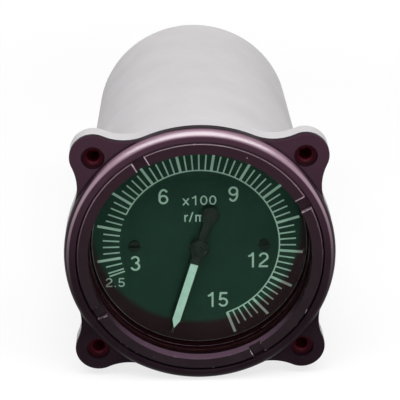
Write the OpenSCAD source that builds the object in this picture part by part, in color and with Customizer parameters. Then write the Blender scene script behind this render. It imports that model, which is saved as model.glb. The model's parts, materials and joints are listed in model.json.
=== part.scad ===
// Panel tachometer indicator: front frame, dial and pointer movement, drive motor, can and connector.
// X runs to the right of the dial, Y runs from the dial to the back, Z is up.
// The origin is the centre of the square of panel bolts, in the plane of the flange's rear face.
// The panel lies on the front of the lugs, and its bolts screw into the anchor nuts.

/* [Mounting flange] */
// Side of the square of panel bolts
bolt_spacing = 66; // [64:0.5:70]
// Radius of the rounded lugs
lug_r = 7.4; // [6.5:0.1:8.5]
// Radius of the bulges between the lugs, and of the rim
bulge_r = 43; // [42:0.25:44]
// Radius of the hollow curve from a lug into a bulge
blend_r = 16; // [10:1:24]
// Thickness of the grey flange
flange_t = 5.6; // [5:0.1:7]
// Diameter of the hole in the front plate over each anchor nut
bolt_hole_d = 7.3; // [6.5:0.1:7.4]
// Diameter of a nut's tapped bore
nut_bore_d = 4.2; // [3.3:0.1:4.6]
// Diameter of the countersink at the mouth of that bore
nut_mouth_d = 5.4; // [4.8:0.1:5.8]
// Diameter of a nut's shank, pressed into the flange
nut_shank_d = 7.8; // [7.5:0.1:8.2]
// Diameter of a nut's body behind the flange
nut_body_d = 9.4; // [8.8:0.1:9.6]
// Length of a nut's body behind the flange
nut_body_len = 5.5; // [4.5:0.5:8]
// Thickness of a nut's closed end
nut_end_t = 1.4; // [1:0.1:2]
// Bevel round a nut's closed end
nut_bevel = 0.8; // [0.4:0.1:1]

/* [Front frame] */
// Thickness of the lobed front plate
plate_t = 1.8; // [1.5:0.1:2.5]
// Straight rise below the rounded rim
rim_step = 0.25; // [0.1:0.05:1]
// Wall around the glass pocket
pocket_wall = 1.05; // [0.9:0.05:1.2]
// Thickness of the ledge that carries the glass
ledge_t = 1.1; // [0.8:0.1:1.6]
// Bore of the ledge and of the tail behind it
tail_bore_r = 35; // [34.9:0.05:35.2]
// Wall of the tail that reaches into the can
tail_wall = 1.6; // [1:0.1:1.8]
// How far the tail passes the dial
tail_overlap = 1; // [0.5:0.1:3]
// Radius from the axis of the screws that hold the frame
frame_screw_ring_r = 41.7; // [41.6:0.05:41.9]
// Clock angle of the first of those screws
frame_screw_clock = 34; // [30:1:38]
// Depth of the frame screw's head below the panel seat
frame_screw_sink = 2.2; // [2:0.1:2.4]
// Thread reach of the frame screws into the front plate
frame_screw_reach = 2.6; // [1.5:0.1:2.8]

/* [Glass and retaining ring] */
// Outer radius of the retaining ring and the glass
ring_r = 38.95; // [38.8:0.05:39]
// Bore of the retaining ring
ring_bore_r = 35.3; // [34.8:0.1:36]
// Thickness of the retaining ring
ring_t = 3.7; // [3:0.1:4]
// How far the ring lies behind the crown of the rim
ring_recess = 0.3; // [0.1:0.1:1]
// Gap between the ring and the rim
ring_gap = 0.3; // [0.2:0.05:0.4]
// Width of a spanner slot
spanner_slot_w = 4.2; // [3:0.1:5]
// Depth of a spanner slot
spanner_slot_h = 1.6; // [1:0.1:2]
// Clock angle of the first spanner slot
spanner_slot_clock = -29.5; // [-45:0.5:45]
// Thickness of the glass
glass_t = 2.4; // [2:0.1:2.6]
// Thickness of the glass gasket
glass_gasket_t = 0.6; // [0.4:0.1:0.8]
// Thickness of the gasket between frame and can
flange_gasket_t = 0.6; // [0.4:0.1:0.8]

/* [Dial and pointer] */
// Radius of the dial
dial_r = 34.6; // [34:0.1:34.7]
// Thickness of the dial
dial_t = 1; // [0.8:0.1:1.5]
// Distance of the dial behind the front plate's face
dial_setback = 7.6; // [7:0.1:9]
// Radius of the hole at the dial's centre
dial_hole_r = 2; // [1.5:0.1:2.5]
// Distance of a dial screw from the axis
dial_screw_x = 20.8; // [18:0.1:22]
// Length of the posts behind the dial
dial_post_len = 6.8; // [6:0.1:9]
// Radius of the posts behind the dial
dial_post_r = 2.2; // [1.9:0.1:3]
// Gap between the dial and the pointer's hub
hub_gap = 1.8; // [1.2:0.1:2]
// Radius of the pointer's hub
hub_r = 3.05; // [2.5:0.05:4]
// Length of the pointer's hub
hub_len = 1.8; // [1.6:0.1:2]
// Thickness of the pointer's blade
blade_t = 0.6; // [0.4:0.1:0.8]
// Width of the pointer's blade
blade_w = 3.1; // [2.9:0.1:4]
// Distance of the blade's shoulder from the axis
blade_shoulder = 26.4; // [24:0.1:27]
// Distance of the pointer's tip from the axis
tip_reach = 31; // [29.8:0.1:33]
// Width of the pointer's needle tip
tip_w = 0.6; // [0.4:0.1:1]
// Width of the neck of the pointer's tail
neck_w = 2.7; // [2:0.1:3.5]
// Distance of the round counterweight from the axis
counterweight_reach = 11.9; // [10:0.1:13]
// Radius of the round counterweight
counterweight_r = 2.9; // [2.5:0.1:3.5]
// Distance from the axis at which the luminous strip starts
lume_start = 5.8; // [5:0.1:8]
// Width of the luminous strip
lume_w = 2.5; // [2:0.1:2.8]
// Distance of the luminous strip's point from the axis
lume_reach = 29.2; // [28:0.1:29.6]
// Thickness of the luminous strip
lume_t = 0.25; // [0.15:0.05:0.4]
// Clock angle of the pointer at rest
rest_clock = 197; // [190:1:204]

/* [Pointer movement] */
// Radius of the pointer spindle
spindle_r = 0.75; // [0.6:0.05:1]
// Radius of the collar behind the rear jewel
collar_r = 1.5; // [1.2:0.1:2]
// Length of that collar
collar_len = 1.2; // [0.8:0.1:1.6]
// Radius of the two mechanism plates
mech_plate_r = 32.5; // [31.5:0.1:33]
// Thickness of the two mechanism plates
mech_plate_t = 2.5; // [2:0.1:3]
// Length of the pillars between the plates
plate_pillar_len = 15.5; // [15.5:0.1:18]
// Radius of a pillar
pillar_r = 2.5; // [2:0.1:3]
// Distance of the pillars from the axis
pillar_ring_r = 27; // [26:0.1:28]
// Radius of a jewel bearing
jewel_r = 3; // [2.5:0.1:3.5]
// Radius of the hairspring collet
collet_r = 2; // [1.6:0.1:2.4]
// Length of the hairspring collet
collet_len = 3.7; // [3:0.1:4]
// Turns of the hairspring
hairspring_turns = 5; // [3:1:6]
// Width of the hairspring strip
hairspring_h = 1; // [0.6:0.1:1.4]
// Thickness of the hairspring strip
hairspring_t = 0.16; // [0.1:0.02:0.3]
// Distance of the hairspring stud from the axis
stud_ring_r = 10; // [9:0.1:12]
// Radius of the hairspring stud
stud_r = 1; // [0.8:0.1:1.3]
// Clock angle of the hairspring stud
stud_clock = 40; // [20:1:60]
// Distance of the stop pin from the axis
stop_ring_r = 7; // [6.5:0.1:7.2]
// Radius of the stop pin
stop_pin_r = 1; // [0.8:0.05:1.1]
// Width of the stop arm
stop_arm_w = 1.6; // [1.2:0.1:1.8]
// Thickness of the stop arm
stop_arm_t = 1.4; // [1:0.1:1.6]
// Gap between the front plate and the stop arm
stop_gap = 0.9; // [0.6:0.1:1.2]
// Free angle between the stop arm and the pin at rest
stop_margin = 2.1; // [1.5:0.1:4]
// Radius of the damping disc
damping_disc_r = 16; // [14:0.1:17]
// Thickness of the damping disc
damping_disc_t = 0.6; // [0.5:0.1:1]
// Distance of the damping disc behind the front plate
damping_setback = 7.5; // [7.3:0.1:8]
// Length of a damping magnet along the axis
damper_len = 12; // [11:0.1:12]
// Width of a damping magnet
damper_w = 9; // [7:0.1:11]
// Air gap on each side of the damping disc
damper_gap = 1.1; // [0.8:0.1:1.3]
// Distance of a damping magnet's poles from the axis
damper_inner_r = 9.5; // [9:0.1:11]
// Thickness of a damping magnet's back
damper_back = 3.8; // [3:0.1:5]
// Radius of the sensing disc
sensing_disc_r = 21; // [20:0.1:21.4]
// Thickness of the sensing disc
sensing_disc_t = 0.8; // [0.6:0.1:1]
// Radius of the disc hubs
disc_hub_r = 2.5; // [2:0.1:3]
// Length of the disc hubs
disc_hub_len = 4.6; // [4:0.1:4.8]

/* [Drive magnets] */
// Radius of the two magnet plates
magnet_plate_r = 26.5; // [26.1:0.1:26.6]
// Thickness of the two magnet plates
magnet_plate_t = 2.5; // [2:0.1:3]
// Hole in the front magnet plate for the spindle
magnet_plate_hole_r = 6; // [4:0.1:8]
// Magnets on each plate
magnet_count = 6; // [4:1:8]
// Radius of a drive magnet
magnet_r = 4; // [3:0.1:4.5]
// Thickness of a drive magnet
magnet_t = 3.4; // [3:0.1:3.6]
// Distance of the drive magnets from the axis
magnet_ring_r = 16; // [14:0.1:17]
// Length of the spacers between the magnet plates
magnet_spacer_len = 9.5; // [9.3:0.1:10]
// Radius of those spacers
magnet_spacer_r = 2; // [1.5:0.1:2.1]
// Distance of those spacers from the axis
magnet_spacer_ring_r = 24; // [23.8:0.1:24.2]
// Length of the hub on the motor shaft
magnet_hub_len = 5.5; // [4:0.1:6]
// Radius of the hub on the motor shaft
magnet_hub_r = 5; // [4:0.1:6]
// Gap between that hub and the motor
magnet_hub_gap = 2; // [1:0.1:3]

/* [Motor] */
// Radius of the motor shaft
shaft_r = 1.99; // [1.7:0.01:2.1]
// Length of the sleeves between the movement and the motor
sleeve_len = 25.5; // [25:0.1:27]
// Radius of those sleeves
sleeve_r = 2.7; // [2.3:0.1:2.9]
// Radius of the tie rods
tie_r = 1.5; // [1.2:0.05:1.6]
// Distance of the tie rods and rear posts from the axis
tie_ring_r = 30; // [29.9:0.1:30.2]
// Radius of the motor's end shields
shield_r = 32.5; // [32:0.1:33]
// Thickness of the end shields
shield_t = 4; // [3.5:0.1:5]
// Depth of the shields' register in the motor tube
register_len = 2; // [1:0.1:2.5]
// Length of the motor tube
tube_len = 46; // [45:0.5:48]
// Outer radius of the motor tube
tube_r = 27.4; // [27:0.1:27.5]
// Wall of the motor tube
tube_wall = 1.4; // [1:0.1:1.6]
// Length of the stator core and of the rotor stack
stator_len = 26; // [24:0.5:27]
// Bore of the stator
stator_bore_r = 15; // [14:0.1:16]
// Number of stator slots
stator_slots = 12; // [6:3:12]
// Radius of a stator slot
stator_slot_r = 2; // [1.5:0.1:2.2]
// Distance of the stator slots from the axis
stator_slot_ring_r = 20.5; // [20:0.1:21]
// Width of a slot's mouth at the bore
slot_mouth_w = 1.2; // [0.8:0.1:1.6]
// Length of the winding heads past the core
winding_head_len = 7; // [5:0.1:7.4]
// Thickness of the winding heads
winding_head_w = 8; // [6:0.1:8]
// Air gap between rotor and stator
air_gap = 0.5; // [0.3:0.05:0.8]
// Thickness of a hysteresis disc
hysteresis_t = 4; // [3:0.1:5]
// Width of an arm of a rotor magnet
rotor_magnet_w = 13; // [10:0.1:15]
// Outer radius of a ball bearing
bearing_r = 6.5; // [6:0.1:7]
// Width of a ball bearing
bearing_w = 5; // [4:0.1:5.5]
// Ring thickness of a ball bearing
bearing_ring_t = 1.4; // [1.2:0.05:1.5]
// Balls in a bearing
ball_count = 7; // [5:1:8]
// Wall behind a bearing
bearing_wall = 1; // [0.8:0.1:2]
// Radius of the boss around a bearing
boss_r = 9; // [8:0.1:10]

/* [Can] */
// Radius of the can at the flange
can_front_r = 38.7; // [38.5:0.05:39]
// Radius of the can at the back
can_rear_r = 36; // [35.6:0.05:37]
// Length of the can behind the panel seat
can_len = 128.1; // [125:0.1:135]
// Wall of the can
can_wall = 1.6; // [1.2:0.05:1.7]
// Thickness of the can's back
can_back_t = 2.6; // [2:0.1:3]
// Rounding of the can's rear edge
can_round = 3; // [2:0.1:3.2]
// Fillet between the flange and the can
can_fillet = 3; // [2:0.1:3]
// Radius of the rear posts
rear_post_r = 2.4; // [2.2:0.05:2.5]

/* [Connector] */
// Side of the connector's square flange
connector_flange_w = 25; // [24:0.1:27]
// Thickness of the connector's flange
connector_flange_t = 2.5; // [2:0.1:3]
// Thickness of the connector's gasket
connector_gasket_t = 0.8; // [0.5:0.1:1]
// Side of the square of connector screws
connector_screw_spacing = 18.6; // [18.4:0.1:19]
// Length of the connector's barrel
barrel_len = 12.6; // [11:0.1:15]
// Outer radius of the barrel
barrel_r = 10; // [9.8:0.05:10.1]
// Bore of the barrel
barrel_bore_r = 8.5; // [8:0.1:8.6]
// Number of thread grooves on the barrel
thread_count = 7; // [4:1:8]
// Pitch of the thread on the barrel
thread_pitch = 1.3; // [1:0.1:1.4]
// Depth of the thread on the barrel
thread_h = 0.5; // [0.3:0.05:0.6]
// Length of the insulator
insulator_len = 14; // [12:0.1:16]
// Depth of the socket in front of the insulator
socket_depth = 8; // [7:0.1:9]
// Radius of a contact pin
pin_r = 1.25; // [0.8:0.05:1.3]
// Distance of the pins from the axis
pin_ring_r = 4.8; // [4.6:0.1:5.5]
// How far a pin stands out of the insulator
pin_reach = 6; // [4:0.1:6.5]
// How far a pin's solder end reaches into the can
pin_tail = 5; // [4:0.1:6]
// Radius of a lead wire
wire_r = 0.8; // [0.5:0.05:1]
// Distance of the lead wires from the axis at the motor
wire_ring_r = 20; // [18:0.1:21]

/* [Fasteners and fits] */
// Radius of the small screws' heads
screw_head_r = 1.9; // [1.6:0.05:2]
// Height of the small screws' heads
screw_head_h = 1.4; // [1:0.1:1.5]
// Radius of the small screws' shanks
screw_r = 1; // [0.8:0.05:1.2]
// Reach of the small screws past their seat
screw_reach = 5.5; // [4.5:0.1:6]
// Height of the dial screws' heads
dial_screw_head_h = 0.8; // [0.5:0.1:1]
// Radius of the case screws' heads
case_screw_head_r = 2.6; // [2.3:0.05:2.7]
// Height of the case screws' heads
case_screw_head_h = 2; // [1.5:0.1:2.4]
// Radius of the case screws' shanks
case_screw_r = 1.4; // [1.2:0.05:1.5]
// Thickness of a tie nut
tie_nut_t = 2.4; // [2:0.1:3]
// Width of a screwdriver slot
driver_slot_w = 0.6; // [0.4:0.05:0.8]
// Gap all round a piece in its hole
fit = 0.05; // [0.03:0.01:0.1]
// Gap all round a piece that is pressed on a shaft
press = 0.01; // [0.005:0.005:0.02]
// Running gap all round a turning shaft
run = 0.03; // [0.02:0.01:0.06]
// Gap between pieces that turn past each other
clearance = 0.3; // [0.3:0.05:0.5]

/* [Hidden] */
$fn = 64;
// How far a cutting shape passes the face that it cuts
slack = 0.5;
// Overlap that keeps the blend curve off exact tangency
blend_lap = 0.02;

// Radii of the front
rim_bore_r = ring_r + ring_gap;
rim_w = bulge_r - rim_bore_r;
spigot_r = rim_bore_r + pocket_wall;
tail_r = tail_bore_r + tail_wall;
lug_reach = bolt_spacing / sqrt(2);
blend_reach = bulge_r + blend_r;
blend_cos = (blend_reach ^ 2 + lug_reach ^ 2 - (lug_r + blend_r) ^ 2) / (2 * blend_reach * lug_reach);
blend_clock = acos(blend_cos);

// Stations along Y, front to back
plate_y = -flange_t - plate_t;
crown_y = plate_y - rim_step - rim_w;
ring_y = crown_y + ring_recess;
glass_y = ring_y + ring_t;
glass_gasket_y = glass_y + glass_t;
ledge_y = glass_gasket_y + glass_gasket_t;
spigot_end_y = ledge_y + ledge_t;
shoulder_y = spigot_end_y + flange_gasket_t;
dial_y = plate_y + dial_setback;
dial_back_y = dial_y + dial_t;
hub_y = dial_y - hub_gap - hub_len;
blade_y = hub_y + (hub_len - blade_t) / 2;
spindle_y = hub_y + blade_t;
front_plate_y = dial_back_y + dial_post_len;
front_plate_back_y = front_plate_y + mech_plate_t;
bearing_plate_y = front_plate_back_y + plate_pillar_len;
bearing_plate_back_y = bearing_plate_y + mech_plate_t;
front_shield_y = bearing_plate_back_y + sleeve_len;
tube_y = front_shield_y + shield_t;
rear_shield_y = tube_y + tube_len;
rear_shield_back_y = rear_shield_y + shield_t;
can_inner_y = can_len - can_back_t;
connector_y = can_len + connector_gasket_t;
barrel_y = connector_y + connector_flange_t;
mouth_y = barrel_y + barrel_len;
insulator_y = mouth_y - socket_depth - insulator_len;

// Pointer movement
collet_y = front_plate_y - clearance - collet_len;
hairspring_y = collet_y + (collet_len - hairspring_h) / 2;
hairspring_outer_r = stud_ring_r - stud_r - fit - hairspring_t / 2;
hairspring_inner_r = collet_r + fit + hairspring_t / 2;
hairspring_steps = 24;
stop_half_angle = asin((stop_pin_r + stop_arm_w / 2) / stop_ring_r);
stop_pin_clock = rest_clock - stop_half_angle - stop_margin;
stop_arm_y = front_plate_back_y + stop_gap;
stop_reach = stop_ring_r + stop_arm_w;
stop_pin_len = stop_gap + stop_arm_t + stop_pin_r;
damping_disc_y = front_plate_back_y + damping_setback;
damper_y = bearing_plate_y - damper_len;
damper_slot_r = damping_disc_r + damper_gap;
damper_outer_r = damper_slot_r + damper_back;
damper_screw_r = (damper_inner_r + damper_outer_r) / 2;

// Drive magnets
rear_magnet_plate_y = front_shield_y - magnet_hub_gap - magnet_hub_len - magnet_plate_t;
front_magnet_plate_y = rear_magnet_plate_y - magnet_spacer_len - magnet_plate_t;
gap_centre_y = rear_magnet_plate_y - magnet_spacer_len / 2;
spindle_end_y = gap_centre_y + disc_hub_len / 2;

// Motor
tube_bore_r = tube_r - tube_wall;
register_r = tube_bore_r - fit;
stator_r = tube_bore_r - fit;
stator_y = tube_y + (tube_len - stator_len) / 2;
stator_end_y = stator_y + stator_len;
winding_head_r = tube_bore_r - tube_wall;
rotor_r = stator_bore_r - air_gap;
rotor_magnet_t = (stator_len - 3 * hysteresis_t) / 2 - 2 * fit;
rotor_pitch = hysteresis_t + rotor_magnet_t + 2 * fit;
front_bearing_y = front_shield_y + bearing_wall;
front_bearing_end_y = front_bearing_y + bearing_w;
rear_bearing_end_y = rear_shield_back_y - bearing_wall;
rear_bearing_y = rear_bearing_end_y - bearing_w;
inner_ring_r = shaft_r + press + bearing_ring_t;
outer_ring_bore_r = bearing_r - bearing_ring_t;
ball_ring_r = (inner_ring_r + outer_ring_bore_r) / 2;
ball_r = (outer_ring_bore_r - inner_ring_r) / 2 - fit;
bearings_y = [front_bearing_y, rear_bearing_y];

// Clock angles of the groups
lug_clocks = [45, 135, 225, 315];
pillar_clocks = [60, 180, 300];
tie_clocks = [0, 120, 240];
damper_clocks = [90, 270];
dial_clocks = [90, 270];
pin_clocks = [0, 120, 240];
frame_screw_clocks = [for (k = [0:3]) frame_screw_clock + 90 * k];
spanner_clocks = [for (k = [0:3]) spanner_slot_clock + 90 * k];
magnet_clocks = [for (k = [0:magnet_count - 1]) 360 * k / magnet_count];
spacer_clocks = [for (k = [0:2]) 30 + 120 * k];

// Colours
paint_grey = [0.83, 0.81, 0.83];
enamel_black = [0.14, 0.12, 0.14];
dial_green = [0.1, 0.15, 0.13];
mint = [0.6, 0.85, 0.72];
steel = [0.66, 0.66, 0.68];
aluminium = [0.78, 0.79, 0.8];
brass = [0.78, 0.63, 0.32];
copper = [0.72, 0.42, 0.25];
magnet_grey = [0.36, 0.36, 0.38];
rubber_black = [0.08, 0.08, 0.08];
oxide_black = [0.1, 0.09, 0.1];
phenolic = [0.3, 0.18, 0.1];

// Turns a shape that is drawn along Z so that it runs along +Y from station y
module axial(y) {
    translate([0, y, 0])
    rotate([-90, 0, 0])
    children();
}

// Copies a shape to each clock angle, at radius r from the axis
module around(clocks, r) {
    for (clock = clocks)
        rotate([0, clock, 0])
        translate([0, 0, r])
        children();
}

// Copies a shape to the corners of a square
module at_corners(side) {
    for (x = [-side / 2, side / 2], z = [-side / 2, side / 2])
        translate([x, 0, z])
        children();
}

// Rod along Y
module rod(y, len, r) {
    axial(y)
    cylinder(h = len, r = r);
}

// Tube along Y
module tube(y, len, r, bore_r) {
    difference() {
        rod(y, len, r);
        rod(y - slack, len + 2 * slack, bore_r);
    }
}

// Slotted screw: the head seats at y, and the shank runs to +Y, or to -Y where dir is -1
module screw(y, dir, head_r, head_h, shank_r, reach) {
    translate([0, y, 0])
    mirror([0, dir < 0 ? 1 : 0, 0])
    difference() {
        union() {
            rod(-head_h, head_h, head_r);
            rod(-head_h / 2, head_h / 2 + reach, shank_r);
        }
        translate([0, -head_h, 0])
        cube([driver_slot_w, head_h, 3 * head_r], center = true);
    }
}

// Small screw of the movement
module small_screw(y, dir) {
    screw(y, dir, screw_head_r, screw_head_h, screw_r, screw_reach);
}

// Hole for a small screw, from its seat to past its end
module small_screw_hole(y, dir) {
    rod(dir > 0 ? y - slack : y - screw_reach - fit, screw_reach + fit + slack, screw_r + fit);
}

// Wire along a list of points, whose stretches lap at the bends
module wire(points, r) {
    last = len(points) - 1;
    for (k = [1:last])
        wire_run(points[k - 1], points[k], r, k > 1 ? r : 0, k < last ? r : 0);
}

// Straight stretch of wire between two points, lengthened at each end by its lap
module wire_run(start, end, r, start_lap, end_lap) {
    way = end - start;
    translate(start - start_lap * way / norm(way))
    rotate([0, acos(way.z / norm(way)), atan2(way.y, way.x)])
    cylinder(h = norm(way) + start_lap + end_lap, r = r);
}

// Centre of a blend curve beside a lug that lies on +X
function blend_centre(side) = blend_reach * [cos(blend_clock), side * sin(blend_clock)];

// One lug on +X, with its two blend curves
module lug_outline() {
    translate([lug_reach, 0])
    circle(r = lug_r);
    difference() {
        polygon([[0, 0], blend_centre(-1), [lug_reach, 0], blend_centre(1)]);
        for (side = [-1, 1])
            translate(blend_centre(side))
            circle(r = blend_r - blend_lap);
    }
}

// Lobed outline that the front plate and the flange share
module lobed_outline() {
    circle(r = bulge_r);
    for (clock = lug_clocks)
        rotate(clock)
        lug_outline();
}

// Bolt holes through the four lugs
module bolt_holes(y, len, r) {
    around(lug_clocks, lug_reach)
    rod(y, len, r);
}

// Section of the can, with the fillet at the flange and the rounded rear edge
module can_section() {
    draft_end_y = can_len - can_round;
    difference() {
        union() {
            polygon([
                [0, shoulder_y], [can_front_r, shoulder_y], [can_front_r, can_fillet],
                [can_rear_r, draft_end_y], [can_rear_r - can_round, can_len], [0, can_len]
            ]);
            translate([can_rear_r - can_round, draft_end_y])
            intersection() {
                circle(r = can_round);
                square(can_round);
            }
            translate([can_front_r, 0])
            difference() {
                translate([-can_wall / 2, -can_wall / 2])
                square(can_fillet + can_wall / 2);
                translate([can_fillet, can_fillet])
                circle(r = can_fillet);
            }
        }
        polygon([
            [0, shoulder_y - slack], [can_front_r - can_wall, shoulder_y - slack],
            [can_front_r - can_wall, can_fillet], [can_rear_r - can_wall, draft_end_y],
            [can_rear_r - can_wall, can_inner_y], [0, can_inner_y]
        ]);
    }
}

module housing() {
    color(paint_grey)
    difference() {
        union() {
            axial(-flange_t)
            linear_extrude(height = flange_t)
            lobed_outline();
            axial(0)
            rotate_extrude()
            can_section();
        }
        rod(-flange_t - slack, shoulder_y + flange_t + slack, spigot_r + fit);
        rod(shoulder_y - slack, can_fillet - shoulder_y + slack, can_front_r - can_wall);
        bolt_holes(-flange_t - slack, flange_t + 2 * slack, nut_shank_d / 2 + fit);
        around(frame_screw_clocks, frame_screw_ring_r) {
            rod(-flange_t - slack, flange_t + slack, screw_r + fit);
            rod(-frame_screw_sink, frame_screw_sink + can_fillet, screw_head_r + fit);
        }
        around(pillar_clocks, tie_ring_r)
        rod(can_inner_y - slack, can_back_t + 2 * slack, case_screw_r + fit);
        rod(can_inner_y - slack, can_back_t + 2 * slack, barrel_bore_r);
        at_corners(connector_screw_spacing)
        rod(can_inner_y - slack, can_back_t + 2 * slack, case_screw_r + fit);
    }
}

// Section of the front frame: rim, glass pocket, ledge and tail
module front_frame_section() {
    translate([rim_bore_r, plate_y - rim_step])
    intersection() {
        circle(r = rim_w);
        translate([0, -rim_w])
        square(rim_w);
    }
    translate([rim_bore_r, plate_y - rim_step])
    square([rim_w, rim_step + plate_t]);
    translate([rim_bore_r, plate_y])
    square([pocket_wall, spigot_end_y - plate_y]);
    translate([tail_bore_r, ledge_y])
    square([spigot_r - tail_bore_r, ledge_t]);
    translate([tail_bore_r, ledge_y])
    square([tail_wall, dial_back_y + tail_overlap - ledge_y]);
}

module front_frame() {
    color(enamel_black)
    difference() {
        union() {
            axial(plate_y)
            linear_extrude(height = plate_t)
            difference() {
                lobed_outline();
                circle(r = rim_bore_r + pocket_wall / 2);
            }
            axial(0)
            rotate_extrude()
            front_frame_section();
        }
        bolt_holes(plate_y - slack, plate_t + 2 * slack, bolt_hole_d / 2);
        around(frame_screw_clocks, frame_screw_ring_r)
        rod(-flange_t - frame_screw_reach - fit, frame_screw_reach + fit + slack, screw_r + fit);
    }
}

module flange_gasket() {
    color(rubber_black)
    tube(spigot_end_y, flange_gasket_t, spigot_r, max(can_front_r - can_wall, tail_r) + clearance);
}

// Section of a closed anchor nut: shank in the flange, body behind it, blind tapped bore
module anchor_nut_section() {
    bore_r = nut_bore_d / 2;
    mouth_r = nut_mouth_d / 2;
    shank_r = nut_shank_d / 2;
    body_r = nut_body_d / 2;
    bore_end_y = nut_body_len - nut_end_t;
    polygon([
        [mouth_r, -flange_t], [shank_r, -flange_t], [shank_r, 0], [body_r, 0],
        [body_r, nut_body_len - nut_bevel], [body_r - nut_bevel, nut_body_len], [0, nut_body_len],
        [0, bore_end_y], [bore_r, bore_end_y], [bore_r, mouth_r - bore_r - flange_t]
    ]);
}

module anchor_nuts() {
    color(oxide_black)
    around(lug_clocks, lug_reach)
    axial(0)
    rotate_extrude()
    anchor_nut_section();
}

module frame_screws() {
    color(steel)
    around(frame_screw_clocks, frame_screw_ring_r)
    screw(-frame_screw_sink, -1, screw_head_r, screw_head_h, screw_r,
        flange_t - frame_screw_sink + frame_screw_reach);
}

module retaining_ring() {
    color(enamel_black)
    difference() {
        tube(ring_y, ring_t, ring_r, ring_bore_r);
        around(spanner_clocks, (ring_r + ring_bore_r) / 2)
        translate([0, ring_y, 0])
        cube([spanner_slot_w, 2 * spanner_slot_h, 2 * (ring_r - ring_bore_r)], center = true);
    }
}

module glass() {
    color([0.85, 0.95, 0.9, 0.3])
    rod(glass_y, glass_t, ring_r);
}

module glass_gasket() {
    color(rubber_black)
    tube(glass_gasket_y, glass_gasket_t, ring_r, tail_bore_r);
}

module dial() {
    color(dial_green)
    difference() {
        rod(dial_y, dial_t, dial_r);
        rod(dial_y - slack, dial_t + 2 * slack, dial_hole_r);
        around(dial_clocks, dial_screw_x)
        small_screw_hole(dial_y, 1);
    }
}

module dial_screws() {
    color(enamel_black)
    around(dial_clocks, dial_screw_x)
    screw(dial_y, 1, screw_head_r, dial_screw_head_h, screw_r, screw_reach);
}

module dial_posts() {
    color(brass)
    difference() {
        around(dial_clocks, dial_screw_x) {
            rod(dial_back_y, dial_post_len, dial_post_r);
            rod(front_plate_y - slack, mech_plate_t + slack, screw_r);
        }
        around(dial_clocks, dial_screw_x)
        small_screw_hole(dial_y, 1);
    }
}

// Outline of the pointer's blade, neck and counterweight, pointing along -Y of the sketch
module pointer_outline() {
    polygon([
        [-blade_w / 2, 0], [-blade_w / 2, -blade_shoulder], [-tip_w / 2, -lume_reach],
        [-tip_w / 2, -tip_reach], [tip_w / 2, -tip_reach], [tip_w / 2, -lume_reach],
        [blade_w / 2, -blade_shoulder], [blade_w / 2, 0]
    ]);
    translate([-neck_w / 2, 0])
    square([neck_w, counterweight_reach]);
    translate([0, counterweight_reach])
    circle(r = counterweight_r);
}

module pointer() {
    color(enamel_black)
    rotate([0, rest_clock, 0])
    difference() {
        union() {
            rod(hub_y, hub_len, hub_r);
            axial(blade_y)
            linear_extrude(height = blade_t)
            pointer_outline();
        }
        rod(spindle_y, hub_len, spindle_r + press);
    }
}

module pointer_lume() {
    color(mint)
    rotate([0, rest_clock, 0])
    axial(blade_y - lume_t)
    linear_extrude(height = lume_t)
    polygon([
        [-lume_w / 2, -lume_start], [-lume_w / 2, -blade_shoulder], [0, -lume_reach],
        [lume_w / 2, -blade_shoulder], [lume_w / 2, -lume_start]
    ]);
}

module pointer_spindle() {
    color(steel)
    union() {
        rod(spindle_y, spindle_end_y - spindle_y, spindle_r);
        rod(bearing_plate_back_y + clearance, collar_len, collar_r);
    }
}

// Plate of the movement, with its bearing hole
module mech_plate(y) {
    difference() {
        rod(y, mech_plate_t, mech_plate_r);
        rod(y - slack, mech_plate_t + 2 * slack, jewel_r + fit);
    }
}

module front_plate() {
    color(brass)
    difference() {
        mech_plate(front_plate_y);
        around(pillar_clocks, pillar_ring_r)
        small_screw_hole(front_plate_y, 1);
        around(dial_clocks, dial_screw_x)
        rod(front_plate_y - slack, mech_plate_t + 2 * slack, screw_r + fit);
    }
}

module bearing_plate() {
    color(brass)
    difference() {
        mech_plate(bearing_plate_y);
        around(pillar_clocks, pillar_ring_r)
        small_screw_hole(bearing_plate_back_y, -1);
        around(damper_clocks, damper_screw_r)
        small_screw_hole(bearing_plate_back_y, -1);
        around(tie_clocks, tie_ring_r)
        rod(bearing_plate_y - slack, mech_plate_t + 2 * slack, tie_r + fit);
    }
}

module plate_pillars() {
    color(brass)
    difference() {
        around(pillar_clocks, pillar_ring_r)
        rod(front_plate_back_y, plate_pillar_len, pillar_r);
        around(pillar_clocks, pillar_ring_r) {
            small_screw_hole(front_plate_y, 1);
            small_screw_hole(bearing_plate_back_y, -1);
        }
    }
}

module plate_screws() {
    color(steel)
    around(pillar_clocks, pillar_ring_r) {
        small_screw(front_plate_y, 1);
        small_screw(bearing_plate_back_y, -1);
    }
}

// Jewel bearing that fills the hole of a mechanism plate
module jewel(y) {
    tube(y, mech_plate_t, jewel_r, spindle_r + run);
}

module front_jewel() {
    color("firebrick")
    jewel(front_plate_y);
}

module rear_jewel() {
    color("firebrick")
    jewel(bearing_plate_y);
}

// Point of the hairspring sketch at a clock angle and radius
function spring_point(clock, r) = r * [sin(clock), -cos(clock)];

// Points along one side of the hairspring, from the stud inwards
function spring_side(offset) = [
    for (k = [0:hairspring_turns * hairspring_steps])
        let (share = k / (hairspring_turns * hairspring_steps))
        let (r = hairspring_outer_r + share * (hairspring_inner_r - hairspring_outer_r))
        spring_point(stud_clock + 360 * k / hairspring_steps, r + offset)
];

// Points of a list in reverse order
function reversed(points) = [for (k = [len(points) - 1:-1:0]) points[k]];

module hairspring() {
    color(brass)
    axial(hairspring_y)
    linear_extrude(height = hairspring_h)
    polygon(concat(spring_side(hairspring_t / 2), reversed(spring_side(-hairspring_t / 2))));
}

module hairspring_collet() {
    color(brass)
    tube(collet_y, collet_len, collet_r, spindle_r + press);
}

module hairspring_stud() {
    color(brass)
    around([stud_clock], stud_ring_r)
    rod(collet_y, front_plate_y - collet_y, stud_r);
}

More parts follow.
